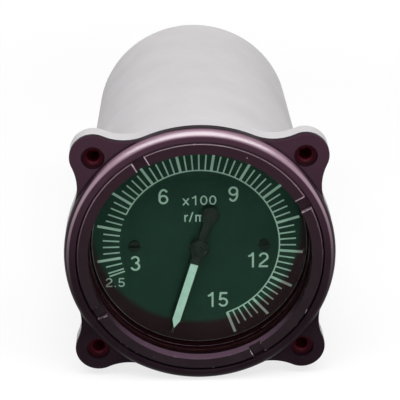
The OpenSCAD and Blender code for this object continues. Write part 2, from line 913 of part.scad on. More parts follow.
module stop_arm() {
    color(steel)
    difference() {
        union() {
            rod(stop_arm_y, stop_arm_t, collet_r);
            rotate([0, rest_clock, 0])
            translate([-stop_arm_w / 2, stop_arm_y, 0])
            cube([stop_arm_w, stop_arm_t, stop_reach]);
        }
        rod(stop_arm_y - slack, stop_arm_t + 2 * slack, spindle_r + press);
    }
}

module stop_pin() {
    color(steel)
    around([stop_pin_clock], stop_ring_r)
    rod(front_plate_back_y, stop_pin_len, stop_pin_r);
}

// Thin disc on a hub, centred on station y
module hubbed_disc(y, thickness, r) {
    difference() {
        union() {
            rod(y - thickness / 2, thickness, r);
            rod(y - disc_hub_len / 2, disc_hub_len, disc_hub_r);
        }
        rod(y - disc_hub_len, 2 * disc_hub_len, spindle_r + press);
    }
}

module damping_disc() {
    color(aluminium)
    hubbed_disc(damping_disc_y + damping_disc_t / 2, damping_disc_t, damping_disc_r);
}

module damping_magnets() {
    color(magnet_grey)
    difference() {
        around(damper_clocks, damper_inner_r)
        translate([-damper_w / 2, damper_y, 0])
        cube([damper_w, damper_len, damper_outer_r - damper_inner_r]);
        rod(damping_disc_y - damper_gap, damping_disc_t + 2 * damper_gap, damper_slot_r);
        around(damper_clocks, damper_screw_r)
        small_screw_hole(bearing_plate_back_y, -1);
    }
}

module magnet_screws() {
    color(steel)
    around(damper_clocks, damper_screw_r)
    small_screw(bearing_plate_back_y, -1);
}

module sensing_disc() {
    color(aluminium)
    hubbed_disc(gap_centre_y, sensing_disc_t, sensing_disc_r);
}

// Soft-iron plate that carries half of the drive magnets
module magnet_plate(y, hole_r) {
    difference() {
        rod(y, magnet_plate_t, magnet_plate_r);
        rod(y - slack, magnet_plate_t + 2 * slack, hole_r);
        around(spacer_clocks, magnet_spacer_ring_r)
        rod(y - slack, magnet_plate_t + 2 * slack, magnet_spacer_r / 2 + fit);
    }
}

module front_magnet_plate() {
    color(steel)
    magnet_plate(front_magnet_plate_y, magnet_plate_hole_r);
}

module rear_magnet_plate() {
    color(steel)
    union() {
        magnet_plate(rear_magnet_plate_y, shaft_r + press);
        tube(rear_magnet_plate_y + magnet_plate_t, magnet_hub_len, magnet_hub_r, shaft_r + press);
    }
}

module drive_magnets() {
    color(magnet_grey)
    around(magnet_clocks, magnet_ring_r) {
        rod(front_magnet_plate_y + magnet_plate_t, magnet_t, magnet_r);
        rod(rear_magnet_plate_y - magnet_t, magnet_t, magnet_r);
    }
}

module magnet_spacers() {
    color(brass)
    around(spacer_clocks, magnet_spacer_ring_r) {
        rod(front_magnet_plate_y + magnet_plate_t, magnet_spacer_len, magnet_spacer_r);
        rod(front_magnet_plate_y, magnet_spacer_len + 2 * magnet_plate_t, magnet_spacer_r / 2);
    }
}

module motor_shaft() {
    color(steel)
    rod(rear_magnet_plate_y, rear_bearing_end_y - rear_magnet_plate_y, shaft_r);
}

// Station of the rotor piece of a given number
function rotor_y(k) = stator_y + k * rotor_pitch;

module rotor_magnets() {
    color(magnet_grey)
    for (k = [0:1])
        difference() {
            intersection() {
                rod(rotor_y(k) + hysteresis_t + fit, rotor_magnet_t, rotor_r);
                translate([0, rotor_y(k) + hysteresis_t + rotor_magnet_t / 2, 0])
                union() {
                    cube([rotor_magnet_w, 2 * rotor_magnet_t, 3 * rotor_r], center = true);
                    cube([3 * rotor_r, 2 * rotor_magnet_t, rotor_magnet_w], center = true);
                }
            }
            rod(rotor_y(k), 2 * rotor_pitch, shaft_r + press);
        }
}

module hysteresis_discs() {
    color(steel)
    for (k = [0:2])
        tube(rotor_y(k), hysteresis_t, rotor_r, shaft_r + press);
}

module rotor_sleeves() {
    color(brass)
    union() {
        tube(front_bearing_end_y, stator_y - front_bearing_end_y, inner_ring_r, shaft_r + press);
        tube(stator_end_y, rear_bearing_y - stator_end_y, inner_ring_r, shaft_r + press);
    }
}

module bearing_inner_rings() {
    color(steel)
    for (y = bearings_y)
        tube(y, bearing_w, inner_ring_r, shaft_r + press);
}

module bearing_outer_rings() {
    color(steel)
    for (y = bearings_y)
        tube(y, bearing_w, bearing_r, outer_ring_bore_r);
}

module bearing_balls() {
    color(steel)
    for (y = bearings_y, k = [0:ball_count - 1])
        rotate([0, 360 * k / ball_count, 0])
        translate([0, y + bearing_w / 2, ball_ring_r])
        sphere(r = ball_r);
}

// End shield of the motor, drawn with its outer face at y = 0 and the motor towards +Y
module shield() {
    difference() {
        union() {
            rod(0, shield_t, shield_r);
            tube(0, shield_t + register_len, register_r, winding_head_r + clearance);
            rod(0, bearing_wall + bearing_w, boss_r);
        }
        rod(bearing_wall, bearing_w + slack, bearing_r + fit);
        rod(-slack, shield_t, inner_ring_r + clearance);
        around(tie_clocks, tie_ring_r)
        rod(-slack, shield_t + 2 * slack, tie_r + fit);
    }
}

module motor_front_shield() {
    color(aluminium)
    translate([0, front_shield_y, 0])
    shield();
}

module motor_rear_shield() {
    color(aluminium)
    difference() {
        translate([0, rear_shield_back_y, 0])
        mirror([0, 1, 0])
        shield();
        around(pillar_clocks, tie_ring_r)
        small_screw_hole(rear_shield_y, 1);
        around(pin_clocks, wire_ring_r)
        rod(rear_shield_y - slack, shield_t + 2 * slack, wire_r + clearance);
    }
}

module motor_tube() {
    color(aluminium)
    tube(tube_y, tube_len, tube_r, tube_bore_r);
}

// Places a shape at each stator slot
module at_slots() {
    around([for (k = [0:stator_slots - 1]) 360 * k / stator_slots], stator_slot_ring_r)
    children();
}

module stator_core() {
    color(magnet_grey)
    difference() {
        tube(stator_y, stator_len, stator_r, stator_bore_r);
        at_slots() {
            rod(stator_y - slack, stator_len + 2 * slack, stator_slot_r);
            translate([-slot_mouth_w / 2, stator_y - slack, stator_bore_r - stator_slot_ring_r - slack])
            cube([slot_mouth_w, stator_len + 2 * slack, stator_slot_ring_r - stator_bore_r + slack]);
        }
    }
}

module stator_windings() {
    color(copper)
    union() {
        for (y = [stator_y - winding_head_len, stator_end_y])
            tube(y, winding_head_len, winding_head_r, winding_head_r - winding_head_w);
        at_slots()
        rod(stator_y - slack, stator_len + 2 * slack, stator_slot_r - 2 * fit);
    }
}

module tie_rods() {
    color(steel)
    around(tie_clocks, tie_ring_r)
    screw(bearing_plate_y, 1, case_screw_head_r, screw_head_h, tie_r,
        rear_shield_back_y + tie_nut_t - bearing_plate_y);
}

module tie_nuts() {
    color(steel)
    around(tie_clocks, tie_ring_r)
    axial(rear_shield_back_y)
    difference() {
        cylinder(h = tie_nut_t, r = case_screw_head_r, $fn = 6);
        translate([0, 0, -slack])
        cylinder(h = tie_nut_t + 2 * slack, r = tie_r + fit);
    }
}

module chassis_sleeves() {
    color(aluminium)
    around(tie_clocks, tie_ring_r)
    tube(bearing_plate_back_y, sleeve_len, sleeve_r, tie_r + fit);
}

module rear_posts() {
    color(aluminium)
    difference() {
        around(pillar_clocks, tie_ring_r)
        rod(rear_shield_back_y, can_inner_y - rear_shield_back_y, rear_post_r);
        around(pillar_clocks, tie_ring_r) {
            small_screw_hole(rear_shield_y, 1);
            rod(can_inner_y - screw_reach - fit, screw_reach + fit + slack, case_screw_r + fit);
        }
    }
}

module post_screws() {
    color(steel)
    around(pillar_clocks, tie_ring_r)
    small_screw(rear_shield_y, 1);
}

module rear_screws() {
    color(steel)
    around(pillar_clocks, tie_ring_r)
    screw(can_len, -1, case_screw_head_r, case_screw_head_h, case_screw_r, can_back_t + screw_reach);
}

module lead_wires() {
    pin_end_y = insulator_y - pin_tail;
    wire_rise = (pin_end_y - rear_shield_back_y) / 3;
    color("crimson")
    around(pin_clocks, 0)
    wire([
        [0, pin_end_y, pin_ring_r], [0, pin_end_y - wire_rise, pin_ring_r],
        [0, rear_shield_back_y + wire_rise, wire_ring_r], [0, stator_end_y + winding_head_len, wire_ring_r]
    ], wire_r);
}

module connector_shell() {
    color(aluminium)
    difference() {
        union() {
            translate([-connector_flange_w / 2, connector_y, -connector_flange_w / 2])
            cube([connector_flange_w, connector_flange_t, connector_flange_w]);
            rod(connector_y, connector_flange_t + barrel_len, barrel_r);
        }
        rod(connector_y - slack, connector_flange_t + barrel_len + 2 * slack, barrel_bore_r);
        at_corners(connector_screw_spacing)
        rod(connector_y - slack, connector_flange_t + 2 * slack, case_screw_r + fit);
        for (k = [0:thread_count - 1])
            tube(mouth_y - (k + 1) * thread_pitch, thread_pitch / 2, barrel_r + slack, barrel_r - thread_h);
    }
}

module connector_insulator() {
    color(phenolic)
    difference() {
        rod(insulator_y, insulator_len, barrel_bore_r - fit);
        around(pin_clocks, pin_ring_r)
        rod(insulator_y - slack, insulator_len + 2 * slack, pin_r + fit);
    }
}

module connector_pins() {
    color(brass)
    around(pin_clocks, pin_ring_r)
    rod(insulator_y - pin_tail, pin_tail + insulator_len + pin_reach, pin_r);
}

module connector_gasket() {
    color(rubber_black)
    difference() {
        translate([-connector_flange_w / 2, can_len, -connector_flange_w / 2])
        cube([connector_flange_w, connector_gasket_t, connector_flange_w]);
        rod(can_len - slack, connector_gasket_t + 2 * slack, barrel_bore_r);
        at_corners(connector_screw_spacing)
        rod(can_len - slack, connector_gasket_t + 2 * slack, case_screw_r + fit);
    }
}

module connector_screws() {
    color(steel)
    at_corners(connector_screw_spacing)
    screw(barrel_y, -1, case_screw_head_r, case_screw_head_h, case_screw_r,
        connector_flange_t + connector_gasket_t + can_back_t);
}

housing();
front_frame();
flange_gasket();
frame_screws();
anchor_nuts();
retaining_ring();
glass();
glass_gasket();
dial();
dial_screws();
dial_posts();
pointer();
pointer_lume();
pointer_spindle();
front_plate();
bearing_plate();
plate_pillars();
plate_screws();
front_jewel();
rear_jewel();
hairspring();
hairspring_collet();
hairspring_stud();
stop_arm();
stop_pin();
damping_disc();
damping_magnets();
magnet_screws();
sensing_disc();
front_magnet_plate();
rear_magnet_plate();
drive_magnets();
magnet_spacers();
motor_shaft();
rotor_magnets();
hysteresis_discs();
rotor_sleeves();
bearing_inner_rings();
bearing_outer_rings();
bearing_balls();
motor_front_shield();
motor_rear_shield();
motor_tube();
stator_core();
stator_windings();
tie_rods();
tie_nuts();
chassis_sleeves();
rear_posts();
post_screws();
rear_screws();
lead_wires();
connector_shell();
connector_insulator();
connector_pins();
connector_gasket();
connector_screws();
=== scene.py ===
"""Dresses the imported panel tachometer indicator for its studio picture.

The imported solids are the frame. The front frame, the retaining ring, the dial with its print and
the pointer are built here, with the soft edges, slots and strokes that the solids leave out. Every
other solid keeps its shape and gets its real finish. Lengths in the classes are millimetres.
"""

from __future__ import annotations

import json
import logging
import math
from dataclasses import dataclass, field
from enum import Enum
from typing import Any, ClassVar, Iterable, Sequence, Union

import bpy
from mathutils import Matrix, Vector
from mathutils.geometry import delaunay_2d_cdt

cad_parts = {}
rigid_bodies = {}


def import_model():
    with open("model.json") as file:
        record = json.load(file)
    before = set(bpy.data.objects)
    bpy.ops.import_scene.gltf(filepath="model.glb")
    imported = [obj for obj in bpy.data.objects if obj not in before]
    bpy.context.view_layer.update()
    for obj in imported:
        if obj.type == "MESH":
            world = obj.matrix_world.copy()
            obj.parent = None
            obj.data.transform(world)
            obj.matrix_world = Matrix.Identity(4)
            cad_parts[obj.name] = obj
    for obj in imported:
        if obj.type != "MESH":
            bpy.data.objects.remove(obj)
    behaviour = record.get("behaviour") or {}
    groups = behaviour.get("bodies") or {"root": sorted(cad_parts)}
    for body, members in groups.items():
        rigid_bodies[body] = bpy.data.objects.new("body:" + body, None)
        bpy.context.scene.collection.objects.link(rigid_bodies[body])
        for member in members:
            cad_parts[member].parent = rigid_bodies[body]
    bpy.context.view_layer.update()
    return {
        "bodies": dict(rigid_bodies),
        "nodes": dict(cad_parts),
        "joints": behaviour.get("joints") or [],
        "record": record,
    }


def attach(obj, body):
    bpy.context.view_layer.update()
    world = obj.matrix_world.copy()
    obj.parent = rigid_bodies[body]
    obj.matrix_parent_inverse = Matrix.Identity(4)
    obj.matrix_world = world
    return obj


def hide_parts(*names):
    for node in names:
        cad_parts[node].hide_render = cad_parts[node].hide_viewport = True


LOG = logging.getLogger("tachometer")
MM = 0.001
# Mesh attribute that is 1 along edges that wear, and that places the polish and its painted
# highlight
RUB = "rub"

# Node settings that several finishes share
COLOURS = {"data_type": "RGBA"}
NUMBERS = {"data_type": "FLOAT"}
SOFTLY = {"interpolation_type": "SMOOTHSTEP"}
TIMES = {"operation": "MULTIPLY"}
HIGHER = {"operation": "MAXIMUM"}

# Roundings of corners: ones that nothing shows of, ones that look sharp, and eased ones
HIDDEN_EDGE = 0.01
CRISP_EDGE = 0.02
EASED_EDGE = 0.1
# Least cosine that the mitre of an outline's corner is worked out with
LEAST_MITRE = 0.4
# Degrees from the top over which the wear and painted highlight of a rim's top hold, and then
# change
TOP_WEAR = 32.0
TOP_WEAR_FADE = 38.0

Point = tuple[float, float]
Span = tuple[float, float]
Tree = bpy.types.NodeTree
Node = bpy.types.Node
Source = Union[bpy.types.Node, bpy.types.NodeSocket]


class Body(str, Enum):
    """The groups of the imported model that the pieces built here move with."""

    CASE = "case"
    POINTER = "pointer"


class Slot(str, Enum):
    """Names of the record's material slots for the pieces built here."""

    FRAME = "frame_black"
    DIAL = "dial_black"
    POINTER = "pointer_black"
    PRINT = "lume"


def linear(hex_colour: str) -> tuple[float, float, float, float]:
    """Turns an sRGB hex colour into linear RGBA.

    Args:
        hex_colour: Six hex digits after a hash sign.

    Returns:
        Linear red, green and blue with full alpha.
    """
    shares = [int(hex_colour[k : k + 2], 16) / 255 for k in (1, 3, 5)]
    channels = [s / 12.92 if s <= 0.04045 else ((s + 0.055) / 1.055) ** 2.4 for s in shares]
    return (*channels, 1.0)


def add_node(
    tree: Tree, kind: str, settings: dict[str, Any] | None = None, *in_order: Any, **by_name: Any
) -> Node:
    """Adds one node with its settings and links.

    Args:
        tree: Node tree that gets the node.
        kind: Blender's type name of the node.
        settings: Attributes of the node itself.
        *in_order: Values for the inputs in use, from the first one on. A socket or a node is
            linked, a node by its first output in use.
        **by_name: The same by the inputs' names, with underscores for spaces.

    Returns:
        The new node.
    """
    node = tree.nodes.new(kind)
    for name, value in (settings or {}).items():
        setattr(node, name, value)
    used = [socket for socket in node.inputs if socket.enabled]
    named = {socket.name: socket for socket in reversed(used)}
    sockets = used[: len(in_order)] + [named[name.replace("_", " ")] for name in by_name]
    for socket, value in zip(sockets, [*in_order, *by_name.values()]):
        if isinstance(value, bpy.types.Node):
            value = next(output for output in value.outputs if output.enabled)
        if isinstance(value, bpy.types.NodeSocket):
            tree.links.new(value, socket)
        else:
            socket.default_value = value
    return node


def reach_from(tree: Tree, place: Source, x: float, z: float) -> Node:
    """Measures how far a place lies from a line along the instrument's axis.

    Args:
        tree: Node tree of the material.
        place: Object coordinates.
        x: Place of the line to the right.
        z: Place of the line upwards.

    Returns:
        The distance, in metres.
    """
    line = (x * MM, 0.0, z * MM)
    off = add_node(tree, "ShaderNodeVectorMath", {"operation": "SUBTRACT"}, place, line)
    flat = add_node(tree, "ShaderNodeVectorMath", TIMES, off, (1.0, 0.0, 1.0))
    return add_node(tree, "ShaderNodeVectorMath", {"operation": "LENGTH"}, flat)


def seeing_rays(tree: Tree) -> Node:
    """Finds the rays that see the white surroundings: from the camera, in mirrors, through glass.

    Args:
        tree: Node tree of the floor or the world.

    Returns:
        1 for such a ray and 0 for others.
    """
    path = add_node(tree, "ShaderNodeLightPath").outputs
    seen = add_node(tree, "ShaderNodeMath", HIGHER, path["Is Camera Ray"], path["Is Glossy Ray"])
    return add_node(tree, "ShaderNodeMath", HIGHER, seen, path["Is Transmission Ray"])


@dataclass(frozen=True)
class Finish:
    """A painted, moulded or plain metal surface with cloudy tone, fine grain and rubbed edges.

    Attributes:
        name: Name of the material.
        colour: Main tone.
        cloud: Second tone, which drifts over the main one.
        rough: Mean roughness.
        rough_drift: How far the roughness drifts either way.
        metallic: 1 for bare metal.
        specular: Specular level of a coating.
        tint: Colour of its gloss.
        cloud_mm: Size of the cloudy patches.
        grain_mm: Size of the fine grain.
        grain_um: Height of the fine grain, in micrometres.
        edge: Tone of rubbed edges, or None where edges don't wear.
        edge_mm: Width of a rubbed edge.
        edge_share: How much of the edge length is rubbed through.
        coat: Weight of a clear lacquer.
    """

    name: str
    colour: str
    cloud: str
    rough: float
    rough_drift: float = 0.06
    metallic: float = 0.0
    specular: float = 0.5
    tint: str = "#FFFFFF"
    cloud_mm: float = 14.0
    grain_mm: float = 0.8
    grain_um: float = 4.0
    edge: str | None = None
    edge_mm: float = 0.35
    edge_share: float = 0.5
    coat: float = 0.0

    MADE: ClassVar[dict[str, bpy.types.Material]] = {}
    # Noise levels between which the main tone turns into the second one
    CLOUD_SPAN: ClassVar[Span] = (0.38, 0.66)
    # Noise levels between which the roughness drifts, and its patches' size beside the clouds'
    DRIFT_SPAN: ClassVar[Span] = (0.3, 0.7)
    DRIFT_SIZE: ClassVar[float] = 0.6
    # Cosines of the bevel's turn where an edge starts to show and where it is full
    EDGE_SPAN: ClassVar[Span] = (0.985, 0.90)
    # Size of the patches that break up rubbed edges, and how much sooner marked edges wear
    PATCH_MM: ClassVar[float] = 2.2
    MARKED_LEAD: ClassVar[float] = 0.04
    # Noise levels between which a patch wears through, and how far the edge share lowers them
    WEAR_SPAN: ClassVar[Span] = (0.74, 0.82)
    WEAR_DROP: ClassVar[float] = 0.43

    def material(self) -> bpy.types.Material:
        """Returns the material, made on its first use."""
        if self.name not in Finish.MADE:
            made = bpy.data.materials.new(self.name)
            made.use_nodes = True
            made.node_tree.nodes.clear()
            made.diffuse_color = linear(self.colour)
            self.build(made.node_tree)
            Finish.MADE[self.name] = made
        return Finish.MADE[self.name]

    def build(self, tree: Tree) -> None:
        """Lays out the nodes of the finish.

        Args:
            tree: Empty node tree of the material.
        """
        place = add_node(tree, "ShaderNodeTexCoord").outputs["Object"]
        shader = self.surface(tree, place, self.tone(tree, place))
        add_node(tree, "ShaderNodeOutputMaterial", Surface=shader)

    def ground(self, tree: Tree, place: Source) -> Node:
        """Mixes the two tones in soft clouds.

        Args:
            tree: Node tree of the material.
            place: Object coordinates.

        Returns:
            The colour.
        """
        scale = 1 / (self.cloud_mm * MM)
        clouds = add_node(
            tree, "ShaderNodeTexNoise", Vector=place, Scale=scale, Detail=6.0, Roughness=0.62
        )
        share = add_node(tree, "ShaderNodeMapRange", None, clouds, *self.CLOUD_SPAN)
        tones = linear(self.colour), linear(self.cloud)
        return add_node(tree, "ShaderNodeMix", COLOURS, share, *tones)

    def tone(self, tree: Tree, place: Source) -> Node:
        """Lays the tone of rubbed edges over the ground.

        Args:
            tree: Node tree of the material.
            place: Object coordinates.

        Returns:
            The colour.
        """
        ground = self.ground(tree, place)
        if self.edge is None:
            return ground
        rubbed = self.rubbed(tree, place)
        return add_node(tree, "ShaderNodeMix", COLOURS, rubbed, ground, linear(self.edge))

    def rubbed(self, tree: Tree, place: Source) -> Node:
        """Finds rubbed edges: sharp ones, and those that a mesh marks, broken up by patches.

        Args:
            tree: Node tree of the material.
            place: Object coordinates.

        Returns:
            The share of edge tone.
        """
        soft = add_node(tree, "ShaderNodeBevel", {"samples": 6}, Radius=self.edge_mm * MM)
        flat = add_node(tree, "ShaderNodeNewGeometry").outputs["Normal"]
        turn = add_node(tree, "ShaderNodeVectorMath", {"operation": "DOT_PRODUCT"}, soft, flat)
        sharp = add_node(tree, "ShaderNodeMapRange", None, turn, *self.EDGE_SPAN)
        marked = add_node(tree, "ShaderNodeAttribute", {"attribute_name": RUB}).outputs["Fac"]
        edge = add_node(tree, "ShaderNodeMath", HIGHER, sharp, marked)
        scale = 1 / (self.PATCH_MM * MM)
        patches = add_node(
            tree, "ShaderNodeTexNoise", Vector=place, Scale=scale, Detail=4.0, Roughness=0.7
        )
        lead = {"operation": "MULTIPLY_ADD"}
        ready = add_node(tree, "ShaderNodeMath", lead, marked, self.MARKED_LEAD, patches)
        span = [level - self.WEAR_DROP * self.edge_share for level in self.WEAR_SPAN]
        worn = add_node(tree, "ShaderNodeMapRange", None, ready, *span)
        return add_node(tree, "ShaderNodeMath", TIMES, edge, worn)

    def surface(self, tree: Tree, place: Source, tone: Node, **lacquer: Any) -> Node:
        """Adds the shader, with drifting roughness and fine grain.

        Args:
            tree: Node tree of the material.
            place: Object coordinates.
            tone: The colour.
            **lacquer: Coat inputs of the shader, where they aren't the plain lacquer's.

        Returns:
            The shader.
        """
        scale = 1 / (self.DRIFT_SIZE * self.cloud_mm * MM)
        drift = add_node(tree, "ShaderNodeTexNoise", Vector=place, Scale=scale, Detail=4.0)
        span = (*self.DRIFT_SPAN, self.rough - self.rough_drift, self.rough + self.rough_drift)
        grain = self.grain(tree, place)
        height = self.grain_um * MM * MM
        return add_node(
            tree,
            "ShaderNodeBsdfPrincipled",
            Base_Color=tone,
            Metallic=self.metallic,
            Roughness=add_node(tree, "ShaderNodeMapRange", None, drift, *span),
            Specular_IOR_Level=self.specular,
            Specular_Tint=linear(self.tint),
            Normal=add_node(tree, "ShaderNodeBump", Strength=1.0, Distance=height, Height=grain),
            **(lacquer or {"Coat_Weight": self.coat}),
        )

    def grain(self, tree: Tree, place: Source) -> Source:
        """Returns the height of the fine grain, from 0 to 1."""
        scale = 1 / (self.grain_mm * MM)
        return add_node(tree, "ShaderNodeTexNoise", Vector=place, Scale=scale, Detail=3.0)


@dataclass(frozen=True)
class TurnedMetal(Finish):
    """Metal that was faced on a lathe: fine rings round the instrument's axis.

    Attributes:
        ring_mm: Spacing of the tool marks, drawn coarser than real ones so that they show.
    """

    ring_mm: float = 3.14

    # Radians that Blender's wave turns by over a unit of its scaled coordinates
    WAVE_RATE: ClassVar[float] = 20.0

    def grain(self, tree: Tree, place: Source) -> Source:
        """Returns the height of the tool marks, from 0 to 1."""
        rings = {"wave_type": "RINGS", "rings_direction": "Y"}
        scale = math.tau / (self.WAVE_RATE * self.ring_mm * MM)
        return add_node(
            tree, "ShaderNodeTexWave", rings, Vector=place, Scale=scale, Distortion=0.4, Detail=2.0
        ).outputs["Fac"]


@dataclass(frozen=True)
class HandledEnamel(Finish):
    """Enamel with a hand polish along its rounded edges, and with painted light, highlight and
    shade.

    Attributes:
        overlay_tone: Painted light: the lighter tone of the upper part's front faces.
        painted_highlight: Painted highlight: a light tone on the polish that tints and widens its
            gloss.
        inner: Painted shade: the dark tone of the walls behind the glass.
        inner_y: Station where those walls start.
        inner_wear: How strongly rubbed edges show there.
        low_z: Height where the painted light and the polish start.
        high_z: Height from which they are full.
        polish_ior: Index of the polish, above that of plain enamel so that it mirrors more.
        polish_rough: Roughness of the polish.
        chip_mm: Size of the spots where the enamel is chipped off.
        chip_level: Noise level above which a spot is chipped, so a higher one leaves fewer chips.
    """

    # Painted light on the upper front faces, a painted highlight on the polish, painted shade
    # behind the glass
    overlay_tone: str = "#402B36"
    painted_highlight: str = "#8A6579"
    inner: str = "#19040A"
    inner_y: float = -4.8
    inner_wear: float = 0.1
    low_z: float = -15.0
    high_z: float = 36.0
    polish_ior: float = 2.55
    polish_rough: float = 0.36
    chip_mm: float = 2.4
    chip_level: float = 0.75

    # Millimetres over which the inner tone starts, and noise levels over which a chip does
    INNER_SOFT: ClassVar[float] = 0.2
    CHIP_SOFT: ClassVar[float] = 0.02
    # Marked wear where the polish and its painted highlight start, and where they are full
    POLISH_SPAN: ClassVar[Span] = (0.4, 0.9)
    # Y of the normal where a face starts to look forward for the painted light, and where it is
    # full
    FRONT_SPAN: ClassVar[Span] = (-0.2, -0.8)

    def height(self, tree: Tree, place: Source) -> Node:
        """Returns 0 below the painted light and the polish, and 1 where they are full."""
        up = add_node(tree, "ShaderNodeSeparateXYZ", Vector=place).outputs["Z"]
        return add_node(tree, "ShaderNodeMapRange", SOFTLY, up, self.low_z * MM, self.high_z * MM)

    def depth(self, tree: Tree, place: Source) -> Node:
        """Returns 0 in front of the glass and 1 on the walls behind it."""
        station = add_node(tree, "ShaderNodeSeparateXYZ", Vector=place).outputs["Y"]
        start = (self.inner_y - self.INNER_SOFT) * MM
        return add_node(tree, "ShaderNodeMapRange", None, station, start, self.inner_y * MM)

    def polish(self, tree: Tree, place: Source) -> Node:
        """Returns 1 on the rounded edges of the upper part and 0 away from them."""
        marked = add_node(tree, "ShaderNodeAttribute", {"attribute_name": RUB}).outputs["Fac"]
        edge = add_node(tree, "ShaderNodeMapRange", SOFTLY, marked, *self.POLISH_SPAN)
        return add_node(tree, "ShaderNodeMath", TIMES, edge, self.height(tree, place))

    def ground(self, tree: Tree, place: Source) -> Node:
        """Lays painted light, the polish's painted highlight and painted shade over the plain
        enamel.

        Args:
            tree: Node tree of the material.
            place: Object coordinates.

        Returns:
            The colour.
        """
        normal = add_node(tree, "ShaderNodeNewGeometry").outputs["Normal"]
        facing = add_node(tree, "ShaderNodeSeparateXYZ", Vector=normal).outputs["Y"]
        front = add_node(tree, "ShaderNodeMapRange", None, facing, *self.FRONT_SPAN)
        upper = add_node(tree, "ShaderNodeMath", TIMES, front, self.height(tree, place))
        colour = super().ground(tree, place)
        for share, tone in (
            (upper, self.overlay_tone),
            (self.polish(tree, place), self.painted_highlight),
            (self.depth(tree, place), self.inner),
        ):
            colour = add_node(tree, "ShaderNodeMix", COLOURS, share, colour, linear(tone))
        return colour

    def rubbed(self, tree: Tree, place: Source) -> Node:
        """Adds sparse chips to the rubbed edges, and leaves both weak behind the glass, under its
        painted shade.

        Args:
            tree: Node tree of the material.
            place: Object coordinates.

        Returns:
            The share of edge tone.
        """
        scale = 1 / (self.chip_mm * MM)
        spots = add_node(
            tree, "ShaderNodeTexNoise", Vector=place, Scale=scale, Detail=5.0, Roughness=0.6
        )
        span = (self.chip_level, self.chip_level + self.CHIP_SOFT)
        chips = add_node(tree, "ShaderNodeMapRange", None, spots, *span)
        either = {"operation": "MAXIMUM", "use_clamp": True}
        bare = add_node(tree, "ShaderNodeMath", either, chips, super().rubbed(tree, place))
        shown = add_node(
            tree,
            "ShaderNodeMapRange",
            Value=self.depth(tree, place),
            To_Min=1.0,
            To_Max=self.inner_wear,
        )
        return add_node(tree, "ShaderNodeMath", TIMES, bare, shown)

    def surface(self, tree: Tree, place: Source, tone: Node, **lacquer: Any) -> Node:
        """Adds the polish as a clear coat over the plain enamel.

        Args:
            tree: Node tree of the material.
            place: Object coordinates.
            tone: The colour.
            **lacquer: Further coat inputs of the shader.

        Returns:
            The shader.
        """
        return super().surface(
            tree,
            place,
            tone,
            Coat_Weight=self.polish(tree, place),
            Coat_IOR=self.polish_ior,
            Coat_Roughness=self.polish_rough,
            **lacquer,
        )


@dataclass(frozen=True)
class DustAndSheenEnamel(HandledEnamel):
    """Handled enamel that is lighter on the faces that look up, with dust and a painted sheen.

    Attributes:
        dust_and_sheen: Tone of the faces that look up, for dust and painted sheen together.
    """

    # Dust and painted sheen: faces that look up are drawn lighter
    dust_and_sheen: str = "#5A4554"

    # Z of the normal where the dust and painted sheen start on a face, and where they are full
    DUST_AND_SHEEN_SPAN: ClassVar[Span] = (0.35, 0.9)

    def ground(self, tree: Tree, place: Source) -> Node:
        """Lays the dust and painted sheen over the handled enamel.

        Args:
            tree: Node tree of the material.
            place: Object coordinates.

        Returns:
            The colour.
        """
        handled = super().ground(tree, place)
        normal = add_node(tree, "ShaderNodeNewGeometry").outputs["Normal"]
        facing = add_node(tree, "ShaderNodeSeparateXYZ", Vector=normal).outputs["Z"]
        upward = add_node(tree, "ShaderNodeMapRange", SOFTLY, facing, *self.DUST_AND_SHEEN_SPAN)
        return add_node(tree, "ShaderNodeMix", COLOURS, upward, handled, linear(self.dust_and_sheen))


@dataclass(frozen=True)
class PaintWithRingShadow(Finish):
    """Matt dial paint with the ring's cast shadow painted on as a dark crescent round a lit disc.

    Attributes:
        shaded: Tone of the shaded crescent.
        lit_x: Centre of the lit disc, to the right of the axis.
        lit_z: Centre of the lit disc, above the axis.
        lit_r: Radius of the lit disc.
        soft_mm: Half the width of the disc's soft border.
    """

    # Painted shadow of the ring: a dark crescent outside a lit disc
    shaded: str = "#26181C"
    lit_x: float = -0.9
    lit_z: float = 6.2
    lit_r: float = 33.5
    soft_mm: float = 1.2

    def ground(self, tree: Tree, place: Source) -> Node:
        """Paints the ring's shadow outside the lit disc.

        Args:
            tree: Node tree of the material.
            place: Object coordinates.

        Returns:
            The colour.
        """
        reach = reach_from(tree, place, self.lit_x, self.lit_z)
        span = ((self.lit_r - self.soft_mm) * MM, (self.lit_r + self.soft_mm) * MM)
        outside = add_node(tree, "ShaderNodeMapRange", SOFTLY, reach, *span)
        lit_tone = super().ground(tree, place)
        return add_node(tree, "ShaderNodeMix", COLOURS, outside, lit_tone, linear(self.shaded))


